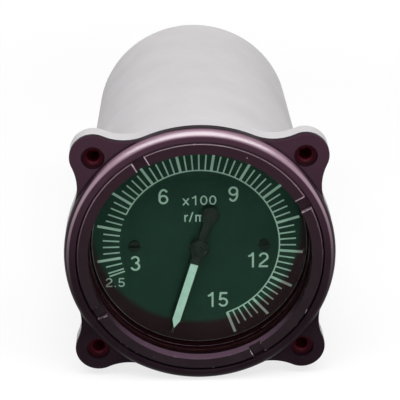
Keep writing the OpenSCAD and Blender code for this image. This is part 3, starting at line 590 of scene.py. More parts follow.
@dataclass(frozen=True)
class RecessedOxide(Finish):
    """Black oxide with a red-brown bloom in the recess and the bore of a bolt hole.

    Attributes:
        overlay_tone: Tone inside the recess.
        recess_y: Stations where the recess ends and where its bloom is full.
        bore_bloom: Tone inside the threaded bore.
        bore_r: Radii within which the bore starts and is full.
        bore_y: Stations past the bore's closed end between which its bloom comes in.
        bolt_half: Half the spacing of the bolts.
    """

    overlay_tone: str = "#2E0C14"
    recess_y: Span = (-0.5, -0.8)
    bore_bloom: str = "#581A27"
    bore_r: Span = (2.4, 2.3)
    bore_y: Span = (4.7, 4.4)
    bolt_half: float = 33.0

    def ground(self, tree: Tree, place: Source) -> Node:
        """Lays the blooms over the recess and the bore.

        Args:
            tree: Node tree of the material.
            place: Object coordinates.

        Returns:
            The colour.
        """
        station = add_node(tree, "ShaderNodeSeparateXYZ", Vector=place).outputs["Y"]
        folded = add_node(tree, "ShaderNodeVectorMath", {"operation": "ABSOLUTE"}, place)
        reach = reach_from(tree, folded, self.bolt_half, self.bolt_half)
        recess, bore, open_part = (
            add_node(tree, "ShaderNodeMapRange", None, measure, start * MM, end * MM)
            for measure, (start, end) in (
                (station, self.recess_y),
                (reach, self.bore_r),
                (station, self.bore_y),
            )
        )
        inner = add_node(tree, "ShaderNodeMath", TIMES, bore, open_part)
        colour = super().ground(tree, place)
        for share, tone in ((recess, self.overlay_tone), (inner, self.bore_bloom)):
            colour = add_node(tree, "ShaderNodeMix", COLOURS, share, colour, linear(tone))
        return colour


@dataclass(frozen=True)
class CoverGlass(Finish):
    """Bloomed flat glass: clear, with a weak reflection, and it lets lamp and stray light through.

    Attributes:
        ior: Index of the bloomed surface, well under bare glass so that it mirrors little.
    """

    ior: float = 1.02

    def build(self, tree: Tree) -> None:
        """Lays out the nodes of the glass.

        Args:
            tree: Empty node tree of the material.
        """
        place = add_node(tree, "ShaderNodeTexCoord").outputs["Object"]
        clear = add_node(
            tree,
            "ShaderNodeBsdfPrincipled",
            Base_Color=self.ground(tree, place),
            Roughness=self.rough,
            IOR=self.ior,
            Transmission_Weight=1.0,
        )
        plain = add_node(tree, "ShaderNodeBsdfTransparent", Color=linear(self.cloud))
        path = add_node(tree, "ShaderNodeLightPath").outputs
        rays = path["Is Shadow Ray"], path["Is Diffuse Ray"]
        stray = add_node(tree, "ShaderNodeMath", HIGHER, *rays)
        both = add_node(tree, "ShaderNodeMixShader", None, stray, clear, plain)
        add_node(tree, "ShaderNodeOutputMaterial", Surface=both)


@dataclass(frozen=True)
class FloorPaper(Finish):
    """Paper sweep, which the camera and mirrors see lit to white, with the shadow kept.

    Attributes:
        lift: Share of white that they see on top of the lamps' light, near the object.
        near_mm: Distance from the object's middle up to which that share holds.
        far_mm: Distance from which the paper is lit to full white.
    """

    lift: float = 0.76
    near_mm: float = 220.0
    far_mm: float = 700.0

    def build(self, tree: Tree) -> None:
        """Lays out the nodes of the paper.

        Args:
            tree: Empty node tree of the material.
        """
        place = add_node(tree, "ShaderNodeTexCoord").outputs["Object"]
        paper = add_node(tree, "ShaderNodeBsdfDiffuse", Color=self.tone(tree, place))
        reach = add_node(tree, "ShaderNodeVectorMath", {"operation": "LENGTH"}, place)
        span = (self.near_mm * MM, self.far_mm * MM, self.lift, 1.0)
        share = add_node(tree, "ShaderNodeMapRange", SOFTLY, reach, *span)
        lift = add_node(tree, "ShaderNodeMath", TIMES, seeing_rays(tree), share)
        glow = add_node(tree, "ShaderNodeEmission", Color=linear("#FFFFFF"), Strength=lift)
        both = add_node(tree, "ShaderNodeAddShader", None, paper, glow)
        add_node(tree, "ShaderNodeOutputMaterial", Surface=both)


# Stove enamel on cast aluminium: a satin light grey with a faint orange peel.
GREY_ENAMEL = Finish(
    "grey_stove_enamel", "#D3D0D2", "#CCC9CB", 0.42, specular=0.15, cloud_mm=22.0,
    grain_mm=1.6, grain_um=3.0, edge="#E8E4E6", edge_mm=0.5, edge_share=0.7,
)
# Black stove enamel: semi-gloss with a plum cast, rubbed to pale metal in spots along its edges.
# Its upper front faces carry painted light, its polish a painted highlight, its inner walls painted
# shade
BLACK_ENAMEL = HandledEnamel(
    "black_stove_enamel", "#1E131A", "#241A20", 0.34, 0.05, specular=0.04, tint="#FFDCEC",
    cloud_mm=9.0, grain_mm=0.9, grain_um=5.0, edge="#C9BBC3", edge_mm=0.22, edge_share=0.05,
)
# The same enamel on the ring: painted light and, on top, dust and painted sheen; rubbed bright
# along the slots.
RING_ENAMEL = DustAndSheenEnamel(
    "black_ring_enamel", "#1C1518", "#231B1F", 0.36, 0.05, specular=0.12, tint="#FFDCEC",
    cloud_mm=7.0, grain_mm=0.8, grain_um=5.0, edge="#B9ABB3", edge_mm=0.22, edge_share=0.25,
    overlay_tone="#2B1A22", chip_level=0.7,
)
# Black oxide on turned steel: near black with a dull shine.
OXIDE_STEEL = RecessedOxide(
    "black_oxide_steel", "#231D1E", "#2C2526", 0.45, 0.06, specular=0.08, tint="#FFDCEC",
    cloud_mm=3.0, grain_mm=0.3, grain_um=3.0,
)
# Matt cellulose dial paint: dark green where lit, with the ring's shadow painted on as a dark
# crescent.
# Its pale edge runs nearly all round the rim: rubbed paint and a painted highlight of the rim
DIAL_PAINT = PaintWithRingShadow(
    "matt_dial_paint", "#21382F", "#1E332B", 0.7, 0.05, specular=0.08, cloud_mm=16.0,
    grain_mm=0.5, grain_um=3.0, edge="#9A9594", edge_mm=0.1, edge_share=0.85,
)
# Luminous dial paint: a mint green that lies thick and matt, grey under the ring's painted shadow.
MARK_PAINT = PaintWithRingShadow(
    "mint_dial_marks", "#AEC6BA", "#A2BBAE", 0.7, 0.05, specular=0.2, cloud_mm=5.0,
    grain_mm=0.3, grain_um=4.0, shaded="#94958F",
)
# Luminous compound in the pointer: paler and grainier than the print.
POINTER_LUME = Finish(
    "pointer_lume", "#BBD8CC", "#B0CDC0", 0.75, 0.05, specular=0.2, cloud_mm=2.5,
    grain_mm=0.35, grain_um=10.0,
)
# Matt black pointer paint on brass sheet: soft black, greyed where its edges are rubbed.
POINTER_PAINT = Finish(
    "matt_pointer_paint", "#121814", "#19201C", 0.55, 0.06, specular=0.12, cloud_mm=4.0,
    grain_mm=0.4, grain_um=4.0, edge="#6F6A66", edge_mm=0.12, edge_share=0.3,
)
# Bloomed float glass: clear and barely green, with a faint haze in clouds.
COVER_GLASS = CoverGlass("bloomed_cover_glass", "#FAFFFC", "#F3FAF6", 0.0, cloud_mm=9.0)
# Moulded nitrile rubber: matt, with a dusty bloom.
RUBBER = Finish(
    "nitrile_rubber", "#1C1214", "#251A1C", 0.8, 0.08, specular=0.3, cloud_mm=5.0,
    grain_mm=0.5, grain_um=8.0,
)
# Red rubber that has gone dark with age: matt maroon.
OLD_RED_RUBBER = Finish(
    "aged_red_rubber", "#22070D", "#2A0C12", 0.8, 0.08, specular=0.2, cloud_mm=5.0,
    grain_mm=0.5, grain_um=8.0,
)
# Zinc-plated steel, turned: bright grey, with paler edges.
PLATED_STEEL = Finish(
    "plated_steel", "#A9A8A4", "#9B9A98", 0.32, 0.08, 1.0, cloud_mm=3.0,
    grain_mm=0.25, grain_um=2.0, edge="#C9C8C4", edge_mm=0.15,
)
# Rolled brass plate, faced on a lathe: yellow, with a circular grain.
BRASS = TurnedMetal(
    "rolled_brass", "#C9A65C", "#B8924A", 0.3, 0.08, 1.0, cloud_mm=8.0, grain_um=1.5
)
# Phosphor bronze strip, drawn: redder than brass and smooth.
SPRING_BRONZE = Finish(
    "spring_bronze", "#B98A55", "#A87A48", 0.28, 0.06, 1.0, cloud_mm=2.0,
    grain_mm=0.2, grain_um=1.0,
)
# Varnished copper windings: dark amber lacquer over copper.
WINDING_COPPER = Finish(
    "varnished_copper", "#9A5A30", "#7A4526", 0.35, 0.08, 1.0, cloud_mm=3.0,
    grain_mm=0.7, grain_um=40.0, coat=0.6,
)
# Turned aluminium alloy: pale, with lathe rings.
TURNED_ALLOY = TurnedMetal(
    "turned_alloy", "#BFC0C2", "#AFB0B3", 0.34, 0.08, 1.0, cloud_mm=10.0, grain_um=2.0
)
# Sintered magnet alloy: dark and slightly rough.
MAGNET_ALLOY = Finish(
    "sintered_magnet", "#5A5A5E", "#4C4C50", 0.45, 0.08, 1.0, cloud_mm=3.0,
    grain_mm=0.4, grain_um=6.0,
)
# Synthetic ruby: polished red.
RUBY = Finish(
    "synthetic_ruby", "#8E1F2B", "#7D1622", 0.08, 0.03, specular=0.8, cloud_mm=2.0,
    grain_mm=0.5, grain_um=0.5,
)
# Moulded phenolic: dark brown with a faint mottle and a dull shine.
PHENOLIC = Finish(
    "moulded_phenolic", "#3D2619", "#4C3122", 0.4, 0.06, cloud_mm=1.8, grain_mm=0.3, grain_um=4.0
)
# Extruded vinyl sleeve: plain red with a soft shine.
WIRE_SLEEVE = Finish(
    "vinyl_wire_sleeve", "#A3282C", "#8F2125", 0.45, 0.05, cloud_mm=4.0, grain_mm=0.6, grain_um=3.0
)
# Seamless paper: pale and quite matt, with barely visible clouds.
PAPER = FloorPaper("white_paper", "#8C8C8C", "#888888", 0.9, cloud_mm=160.0)


@dataclass(frozen=True)
class Corner:
    """A corner of a turned section.

    Attributes:
        r: Distance from the axis.
        y: Station along the axis.
        soft: Radius of its rounding.
        rub: How much its rounding is rubbed.
        rub_at: Share of the rounding where the rub is strongest.
        rub_w: Share of the rounding over which the rub dies away.
        flats: Flats in its rounding.
    """

    r: float
    y: float
    soft: float
    rub: float = 0.0
    rub_at: float = 0.5
    rub_w: float = 0.5
    flats: int = 5


@dataclass(frozen=True)
class SectionPoint:
    """A point of a section with the direction that its surface faces, and its wear."""

    r: float
    y: float
    face_r: float
    face_y: float
    rub: float


def spin(spot: Vector, angle: float) -> Vector:
    """Turns a flat place anticlockwise about the origin, by an angle in radians."""
    sine, cosine = math.sin(angle), math.cos(angle)
    return Vector((spot.x * cosine - spot.y * sine, spot.x * sine + spot.y * cosine))


def rounded_section(corners: Sequence[Corner]) -> list[SectionPoint]:
    """Rounds the corners of a closed section.

    Args:
        corners: Corners in order, with the material on the left of the way round.

    Returns:
        Points round the section, the first one repeated at the end.
    """
    made: list[SectionPoint] = []
    places = [Vector((corner.r, corner.y)) for corner in corners]
    for k, (corner, here) in enumerate(zip(corners, places)):
        way_in = (here - places[k - 1]).normalized()
        way_out = (places[(k + 1) % len(places)] - here).normalized()
        bend = math.atan2(way_in.x * way_out.y - way_in.y * way_out.x, way_in.dot(way_out))
        face = Vector((way_in.y, -way_in.x))
        side = 1 if bend > 0 else -1
        start = here - way_in * corner.soft * math.tan(abs(bend) / 2)
        centre = start - face * corner.soft * side
        for step in range(corner.flats + 1):
            share = step / corner.flats
            out = spin(face, bend * share)
            spot = centre + out * corner.soft * side
            away = (share - corner.rub_at) / corner.rub_w
            rub = corner.rub * max(0.0, 1 - away**2) ** 2
            made.append(SectionPoint(spot.x, spot.y, out.x, out.y, rub))
    made.append(made[0])
    return made


def inside(spot: Vector, loop: Sequence[Point]) -> bool:
    """Tells whether a spot lies inside a loop.

    Args:
        spot: The spot.
        loop: Corners of the loop.

    Returns:
        True where it lies inside.
    """
    hit = False
    for (x1, z1), (x2, z2) in zip(loop, [*loop[1:], loop[0]]):
        if (z1 > spot.y) != (z2 > spot.y) and spot.x < (x2 - x1) * (spot.y - z1) / (z2 - z1) + x1:
            hit = not hit
    return hit


def circle(centre: Point, r: float, count: int) -> list[Point]:
    """Returns the points of a circle."""
    steps = [math.tau * k / count for k in range(count)]
    return [(centre[0] + r * math.sin(a), centre[1] + r * math.cos(a)) for a in steps]


class Shell:
    """Points with their own normals, and faces, gathered before a mesh is made from them."""

    # Points nearer than this are one point, in metres for faces and millimetres for flat fills
    SAME_POINT: ClassVar[float] = 1e-9
    SAME_SPOT: ClassVar[float] = 1e-6

    def __init__(self) -> None:
        """Starts an empty shell."""
        self.points: list[Vector] = []
        self.normals: list[Vector] = []
        self.rubs: list[float] = []
        self.faces: list[tuple[int, ...]] = []

    def point(self, x: float, y: float, z: float, face: Sequence[float], rub: float = 0.0) -> int:
        """Adds a point.

        Args:
            x: Place to the right.
            y: Place along the axis.
            z: Place upwards.
            face: Direction that the surface faces there.
            rub: How much the surface is rubbed there.

        Returns:
            Index of the point.
        """
        self.points.append(Vector((x, y, z)) * MM)
        self.rubs.append(rub)
        self.normals.append(Vector(face).normalized())
        return len(self.points) - 1

    def around(self, p: SectionPoint, clock: float, rub: float, centre: Point = (0.0, 0.0)) -> int:
        """Adds a point of a section that is turned about an axis.

        Args:
            p: Point of the section.
            clock: How far it is turned, clockwise from the top, in radians.
            rub: How much the surface is rubbed there.
            centre: Place of the axis, right and up.

        Returns:
            Index of the point.
        """
        across, up = math.sin(clock), math.cos(clock)
        face = (p.face_r * across, p.face_y, p.face_r * up)
        return self.point(centre[0] + p.r * across, p.y, centre[1] + p.r * up, face, rub)

    def face(self, *corners: int) -> None:
        """Adds a face, turned so that it agrees with its points' normals.

        Args:
            *corners: Indices of its points, in order.
        """
        spots = [self.points[c] for c in corners]
        apart = [(spot - spots[k - 1]).length > self.SAME_POINT for k, spot in enumerate(spots)]
        kept = [c for c, alone in zip(corners, apart) if alone]
        if len(kept) < 3:
            return
        first, second, third = (self.points[c] for c in kept[:3])
        up = (second - first).cross(third - first)
        if up.dot(sum((self.normals[c] for c in kept), Vector())) < 0:
            kept.reverse()
        self.faces.append(tuple(kept))

    def grid(self, rows: Sequence[Sequence[int]], closed: bool = False) -> None:
        """Adds faces between rows of points.

        Args:
            rows: Rows of point indices, each as long as the others.
            closed: Whether the last row joins the first one.
        """
        pairs = list(zip(rows, rows[1:])) + ([(rows[-1], rows[0])] if closed else [])
        for low, high in pairs:
            for k in range(len(low) - 1):
                self.face(low[k], low[k + 1], high[k + 1], high[k])

    def turn(
        self,
        section: Sequence[SectionPoint],
        segments: int,
        centre: Point = (0.0, 0.0),
        sides: Sequence[SectionPoint] | None = None,
    ) -> None:
        """Turns a section all the way round an axis.

        Args:
            section: Points of the section.
            segments: Flats in a full turn.
            centre: Place of the axis, right and up.
            sides: The same section with the wear that it has away from the top, if that differs.
        """
        rows = []
        for k in range(segments):
            clock = math.tau * k / segments
            from_top = math.degrees(math.acos(math.cos(clock)))
            aside = min(max((from_top - TOP_WEAR) / TOP_WEAR_FADE, 0.0), 1.0)
            rows.append(
                [
                    self.around(p, clock, p.rub + (q.rub - p.rub) * aside, centre)
                    for p, q in zip(section, sides or section)
                ]
            )
        self.grid(rows, closed=True)

    def cap(self, loops: Sequence[Sequence[Point]], y: float, towards: float) -> None:
        """Fills a flat face between loops.

        Args:
            loops: The outline, then its holes.
            y: Station of the face.
            towards: -1 for a face to the front, 1 for one to the back.
        """
        spots = [Vector(p) for loop in loops for p in loop]
        edges, start = [], 0
        for loop in loops:
            edges += [(start + k, start + (k + 1) % len(loop)) for k in range(len(loop))]
            start += len(loop)
        flat, _, triangles, *_ = delaunay_2d_cdt(spots, edges, [], 0, self.SAME_SPOT)
        ids = [self.point(p.x, y, p.y, (0, towards, 0)) for p in flat]
        for triangle in triangles:
            middle = sum((flat[k] for k in triangle), Vector((0, 0))) / 3
            if sum(inside(middle, loop) for loop in loops) % 2:
                self.face(*(ids[k] for k in triangle))

    def piece(self, name: str, finish: Finish, body: Body, slot: Slot, *nodes: str) -> None:
        """Makes the mesh object, dresses it and lets it ride.

        Args:
            name: Name of the piece.
            finish: Its finish.
            body: Body that it rides on.
            slot: Material slot of the record; not used.
            *nodes: Solids that it stands for.
        """
        mesh = bpy.data.meshes.new(name)
        mesh.from_pydata(self.points, [], self.faces)
        mesh.polygons.foreach_set("use_smooth", [True] * len(mesh.polygons))
        mesh.normals_split_custom_set_from_vertices(self.normals)
        mesh.attributes.new(RUB, "FLOAT", "POINT").data.foreach_set("value", self.rubs)
        mesh.materials.append(finish.material())
        made = bpy.data.objects.new(name, mesh)
        bpy.context.scene.collection.objects.link(made)
        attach(made, body.value)
        if nodes:
            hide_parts(*nodes)
        LOG.info("%s: %d faces, rides on %s", name, len(mesh.polygons), body.value)


@dataclass
class FrontFrame:
    """The black cast frame: lobed plate with four bolt lugs, rounded rim, glass ledge and tail."""

    bolt_spacing: float = 66.0
    lug_r: float = 7.4
    bulge_r: float = 43.0
    blend_r: float = 16.0
    # Length of a flat in the outline, and the least flats in an arc of it
    outline_step: float = 0.9
    least_flats: int = 6
    plate_y: float = -7.4
    plate_back_y: float = -5.6
    plate_edge: float = 0.45
    plate_overlap: float = 1.0
    plate_flats: int = 120
    edge_flats: int = 4
    hole_r: float = 3.65
    hole_edge: float = 0.15
    hole_flats: int = 48
    crown_y: float = -11.4
    rim_bore_r: float = 39.25
    rim_bore_edge: float = 0.25
    rim_bore_rub: float = 0.3
    rim_round: float = 3.45
    rim_round_flats: int = 22
    rim_flats: int = 240
    # Where the polish and painted highlight lie on the rim's rounding and how wide, in shares of it
    top_polish: Span = (0.59, 0.58)
    side_polish: Span = (0.44, 0.21)
    spigot_r: float = 40.3
    spigot_end_y: float = -3.3
    ledge_y: float = -4.4
    ledge_edge: float = 0.2
    tail_r: float = 36.6
    tail_bore_r: float = 35.0
    tail_end_y: float = 2.2
    # A small step in the tail's bore whose edge is always worn pale: a painted glint line behind
    # the glass
    step_y: float = -2.3
    step_h: float = 0.3
    step_edge: float = 0.25
    step_glint: float = 8.0

    def outline(self, inset: float) -> tuple[list[Point], list[Point]]:
        """Draws the lobed outline.

        Args:
            inset: How far inside the true outline it runs.

        Returns:
            The points, and the directions that the edge faces at them.
        """
        reach = self.bolt_spacing / math.sqrt(2)
        hollow = self.bulge_r + self.blend_r
        lug_side = self.lug_r + self.blend_r
        lean = math.acos((hollow**2 + reach**2 - lug_side**2) / (2 * hollow * reach))
        tip = math.atan2(hollow * math.sin(lean), hollow * math.cos(lean) - reach)
        # Arcs of one quarter: distance and angle of the centre, radius, first and last angle, side
        arcs = (
            (0.0, 0.0, self.bulge_r, lean - math.pi / 2, -lean, 1),
            (hollow, -lean, self.blend_r, math.pi - lean, math.pi - tip, -1),
            (reach, 0.0, self.lug_r, -tip, tip, 1),
            (hollow, lean, self.blend_r, math.pi + tip, math.pi + lean, -1),
        )
        points: list[Point] = []
        faces: list[Point] = []
        for lug in range(4):
            turn = math.pi / 4 + lug * math.pi / 2
            for away, angle, r, first, last, side in arcs:
                middle = (away * math.cos(angle + turn), away * math.sin(angle + turn))
                start, end = first + turn, last + turn
                steps = max(self.least_flats, int(abs(end - start) * r / self.outline_step))
                for k in range(steps):
                    a = start + (end - start) * k / steps
                    out = (side * math.cos(a), side * math.sin(a))
                    points.append(
                        (
                            middle[0] + r * math.cos(a) - inset * out[0],
                            middle[1] + r * math.sin(a) - inset * out[1],
                        )
                    )
                    faces.append(out)
        return points, faces

    def lugs(self) -> list[Point]:
        """Returns the centres of the four bolt holes."""
        half = self.bolt_spacing / 2
        return [(half, half), (half, -half), (-half, -half), (-half, half)]

    def build(self) -> None:
        """Builds the frame as one piece that stands for its solid."""
        shell = Shell()
        self.add_plate(shell)
        shell.turn(
            self.rim_section(self.top_polish),
            self.rim_flats,
            sides=self.rim_section(self.side_polish),
        )
        shell.piece("enamelled_front_frame", BLACK_ENAMEL, Body.CASE, Slot.FRAME, "front_frame")

    def add_plate(self, shell: Shell) -> None:
        """Adds the lobed plate, with its soft edge and the four bolt recesses.

        Args:
            shell: Shell that gets it.
        """
        rows = []
        for k in range(self.edge_flats + 1):
            a = math.pi / 2 * k / self.edge_flats
            out, forward = math.sin(a), math.cos(a)
            y = self.plate_y + self.plate_edge * (1 - forward)
            points, faces = self.outline(self.plate_edge * (1 - out))
            rows.append(
                [
                    shell.point(x, y, z, (face_x * out, -forward, face_z * out))
                    for (x, z), (face_x, face_z) in zip(points, faces)
                ]
            )
        points, faces = self.outline(0.0)
        rows.append(
            [
                shell.point(x, self.plate_back_y, z, (face_x, 0, face_z))
                for (x, z), (face_x, face_z) in zip(points, faces)
            ]
        )
        shell.grid([row + row[:1] for row in rows])
        under_rim = circle((0, 0), self.rim_bore_r + self.plate_overlap, self.plate_flats)
        for inset, hole_r, y, towards in (
            (self.plate_edge, self.hole_r + self.hole_edge, self.plate_y, -1),
            (0.0, self.hole_r, self.plate_back_y, 1),
        ):
            holes = [circle(centre, hole_r, self.hole_flats) for centre in self.lugs()]
            shell.cap([self.outline(inset)[0], under_rim, *holes], y, towards)
        # Two corners inside the plate close the section, and only the first two are turned
        closing_r = self.hole_r + 1.0
        wall = rounded_section(
            [
                Corner(self.hole_r, self.plate_back_y, HIDDEN_EDGE, flats=self.edge_flats),
                Corner(self.hole_r, self.plate_y, self.hole_edge, flats=self.edge_flats),
                Corner(closing_r, self.plate_y, HIDDEN_EDGE),
                Corner(closing_r, self.plate_back_y, HIDDEN_EDGE),
            ]
        )
        for centre in self.lugs():
            shell.turn(wall[: 2 * (self.edge_flats + 1)], self.hole_flats, centre)

    def rim_section(self, polish: Span) -> list[SectionPoint]:
        """Draws the section of the rim, with its pocket, ledge and tail.

        Args:
            polish: Where the polish lies on the rounding, and how wide it is.

        Returns:
            Points round the section.
        """
        inner_y = (self.plate_y + self.plate_back_y) / 2
        wide_r = self.tail_bore_r + self.step_h
        crown = Corner(
            self.bulge_r, self.crown_y, self.rim_round, 1.0, *polish, flats=self.rim_round_flats
        )
        return rounded_section(
            [
                Corner(self.rim_bore_r, self.crown_y, self.rim_bore_edge, self.rim_bore_rub),
                crown,
                Corner(self.bulge_r, inner_y, CRISP_EDGE),
                Corner(self.spigot_r, inner_y, CRISP_EDGE),
                Corner(self.spigot_r, self.spigot_end_y, EASED_EDGE),
                Corner(self.tail_r, self.spigot_end_y, EASED_EDGE),
                Corner(self.tail_r, self.tail_end_y, EASED_EDGE),
                Corner(self.tail_bore_r, self.tail_end_y, EASED_EDGE),
                Corner(self.tail_bore_r, self.step_y, self.step_edge, self.step_glint),
                Corner(wide_r, self.step_y, CRISP_EDGE),
                Corner(wide_r, self.ledge_y, self.ledge_edge),
                Corner(self.rim_bore_r, self.ledge_y, EASED_EDGE),
            ]
        )


@dataclass
class RetainingRing:
    """The black ring that holds the glass, with four spanner slots in its face."""

    bore_r: float = 35.3
    bore_edge: float = 0.22
    bore_rub: float = 0.5
    outer_r: float = 38.95
    outer_edge: float = 0.8
    # The outer edge's wear also places the polish and its painted highlight
    outer_rub: float = 1.0
    face_y: float = -11.1
    back_y: float = -7.4
    slot_w: float = 4.2
    slot_h: float = 1.6
    slot_flats: int = 6
    land_flats: int = 56
    # Width and strength of the wear along the lips of the slots, which places a painted highlight
    # too
    lip_w: float = 0.45
    lip_rub: float = 3.5
    first_slot_clock: float = -29.5

    # Least angle that the width of a rubbed lip is set against, in radians
    LEAST_SWEEP: ClassVar[float] = 0.2
    # Y of the normal from which a lip looks forward
    FORWARD: ClassVar[float] = -0.5

    def build(self) -> None:
        """Builds the ring as one piece that stands for its solid."""
        shell = Shell()
        floor_y = self.face_y + self.slot_h
        back = [
            Corner(self.outer_r, self.back_y, EASED_EDGE),
            Corner(self.bore_r, self.back_y, EASED_EDGE),
        ]
        high = rounded_section(
            [
                Corner(self.bore_r, self.face_y, self.bore_edge, self.bore_rub),
                Corner(self.outer_r, self.face_y, self.outer_edge, self.outer_rub),
                *back,
            ]
        )
        low = rounded_section(
            [
                Corner(self.bore_r, floor_y, EASED_EDGE),
                Corner(self.outer_r, floor_y, EASED_EDGE),
                *back,
            ]
        )
        for k in range(4):
            slot = math.radians(self.first_slot_clock + 90 * k)
            self.add_land(shell, high, slot, slot + math.pi / 2)
            self.sweep(shell, low, slot, slot, -1, self.slot_flats)
        shell.piece("slotted_retaining_ring", RING_ENAMEL, Body.CASE, Slot.FRAME, "retaining_ring")

    def add_land(
        self, shell: Shell, section: Sequence[SectionPoint], start: float, end: float
    ) -> None:
        """Adds the high part between two slots, with the slot walls at its ends.

        Args:
            shell: Shell that gets it.
            section: Points of the section.
            start: Clock angle of the first slot's middle.
            end: Clock angle of the last slot's middle.
        """
        rows = self.sweep(shell, section, start, end, 1, self.land_flats)
        for row, slot, way in ((rows[0], start, -1), (rows[-1], end, 1)):
            face = (way * math.cos(slot), 0, -way * math.sin(slot))
            shell.face(
                *(shell.point(*(shell.points[k] / MM), face, shell.rubs[k]) for k in row[:-1])
            )

    def sweep(
        self,
        shell: Shell,
        section: Sequence[SectionPoint],
        start: float,
        end: float,
        side: int,
        steps: int,
    ) -> list[list[int]]:
        """Sweeps a section between the parallel walls of two slots, or of one.

        Args:
            shell: Shell that gets it.
            section: Points of the section.
            start: Clock angle of the first slot's middle.
            end: Clock angle of the last slot's middle.
            side: 1 to run between slots, -1 to run inside one.
            steps: Flats along the sweep.

        Returns:
            Rows of point indices along the sweep.
        """
        lip = self.lip_w / (self.outer_r * max(end - start, self.LEAST_SWEEP))
        rows = []
        for share in [0.0, lip, *(k / steps for k in range(1, steps)), 1.0 - lip, 1.0]:
            at_wall = side > 0 and share in (0.0, 1.0)
            row = []
            for p in section:
                wall = side * math.asin(self.slot_w / 2 / p.r)
                clock = start + wall + (end - start - 2 * wall) * share
                worn = at_wall and p.face_y < self.FORWARD
                row.append(shell.around(p, clock, self.lip_rub if worn else p.rub))
            rows.append(row)
        shell.grid(rows)
        return rows


@dataclass
class Pointer:
    """The painted pointer: blade with a bare tip, hub with the spindle's end, and counterweight."""

    rest_clock: float = 197.0
    hub_y: float = -3.4
    hub_back_y: float = -1.6
    hub_r: float = 3.05
    hub_chamfer: float = 0.3
    hub_rub: float = 0.6
    hub_flats: int = 64
    spindle_r: float = 0.75
    rivet_h: float = 0.12
    rivet_in: float = 0.05
    rivet_out: float = 0.1
    rivet_edge: float = 0.09
    groove_r: float = 2.2
    groove_w: float = 0.3
    groove_h: float = 0.16
    groove_edge: float = 0.05
    root_edge: float = 0.03
    # The hub's section stops just short of the axis
    eye_r: float = 0.03
    eye_edge: float = 0.005
    blade_y: float = -2.8
    blade_back_y: float = -2.2
    blade_w: float = 3.1
    shoulder: float = 26.4
    point: float = 29.2
    tip: float = 31.0
    tip_w: float = 0.6
    tip_rub: float = 3.0
    neck_w: float = 2.7
    weight_reach: float = 11.9
    weight_r: float = 2.9
    weight_flats: int = 40
    edge: float = 0.12
    edge_flats: int = 4

    def build(self) -> None:
        """Builds the pointer as one piece that stands for its solid."""
        shell = Shell()
        self.add_blade(shell)
        self.add_hub(shell)
        shell.piece("painted_pointer", POINTER_PAINT, Body.POINTER, Slot.POINTER, "pointer")

    def outline(self, inset: float) -> tuple[list[Point], list[Point]]:
        """Draws the blade, neck and counterweight in one loop, turned to the rest clock.

        Args:
            inset: How far inside the true outline it runs.

        Returns:
            The points, and the directions that the edge faces at them.
        """
        half = self.neck_w / 2
        right = [
            (self.tip_w / 2, self.tip),
            (self.tip_w / 2, self.point),
            (self.blade_w / 2, self.shoulder),
            (self.blade_w / 2, self.spindle_r),
            (half, -self.spindle_r),
        ]
        lean = math.asin(half / self.weight_r)
        step = (math.tau - 2 * lean) / self.weight_flats
        turns = [lean + step * k for k in range(self.weight_flats + 1)]
        weight = [
            (self.weight_r * math.sin(a), self.weight_r * math.cos(a) - self.weight_reach)
            for a in turns
        ]
        left = [(-u, v) for u, v in reversed(right)]
        loop = [Vector(p) for p in [*right, *weight, *left]]
        clock = math.radians(self.rest_clock)
        points: list[Point] = []
        faces: list[Point] = []
        for k, here in enumerate(loop):
            way_in = (here - loop[k - 1]).normalized()
            way_out = (loop[(k + 1) % len(loop)] - here).normalized()
            side = Vector((-way_in.y, way_in.x))
            out = (side + Vector((-way_out.y, way_out.x))).normalized()
            spot = here - out * inset / max(out.dot(side), LEAST_MITRE)
            points.append(tuple(spin(spot, -clock)))
            faces.append(tuple(spin(out, -clock)))
        return points, faces

    def add_blade(self, shell: Shell) -> None:
        """Adds the flat part with its soft edges.

        Args:
            shell: Shell that gets it.
        """
        rows = []
        for way, y in ((-1, self.blade_y), (1, self.blade_back_y)):
            for k in range(self.edge_flats + 1):
                a = math.pi / 2 * (k if way < 0 else self.edge_flats - k) / self.edge_flats
                out, along = math.sin(a), way * math.cos(a)
                level = y - way * self.edge * (1 - math.cos(a))
                points, faces = self.outline(self.edge * (1 - out))
                row = []
                for (x, z), (face_x, face_z) in zip(points, faces):
                    rub = self.tip_rub if math.hypot(x, z) > self.point - self.edge else 0.0
                    row.append(shell.point(x, level, z, (face_x * out, along, face_z * out), rub))
                rows.append(row)
        shell.grid([row + row[:1] for row in rows])
        flat = self.outline(self.edge)[0]
        shell.cap([flat], self.blade_y, -1)
        shell.cap([flat], self.blade_back_y, 1)

    def add_hub(self, shell: Shell) -> None:
        """Adds the turned hub, with a groove in its face and the riveted end of the spindle.

        Args:
            shell: Shell that gets it.
        """
        rivet_y = self.hub_y - self.rivet_h
        groove_end = self.groove_r + self.groove_w
        groove_middle = self.groove_r + self.groove_w / 2
        chamfer_r = self.hub_r - self.hub_chamfer
        section = rounded_section(
            [
                Corner(self.eye_r, rivet_y, self.eye_edge),
                Corner(self.spindle_r - self.rivet_in, rivet_y, self.rivet_edge, 1.0),
                Corner(self.spindle_r + self.rivet_out, self.hub_y, self.root_edge),
                Corner(self.groove_r, self.hub_y, self.groove_edge, self.hub_rub),
                Corner(groove_middle, self.hub_y + self.groove_h, self.root_edge),
                Corner(groove_end, self.hub_y, self.groove_edge, self.hub_rub),
                Corner(chamfer_r, self.hub_y, EASED_EDGE, self.hub_rub),
                Corner(self.hub_r, self.hub_y + self.hub_chamfer, EASED_EDGE),
                Corner(self.hub_r, self.hub_back_y, EASED_EDGE),
                Corner(self.eye_r, self.hub_back_y, self.eye_edge),
            ]
        )
        shell.turn(section, self.hub_flats)


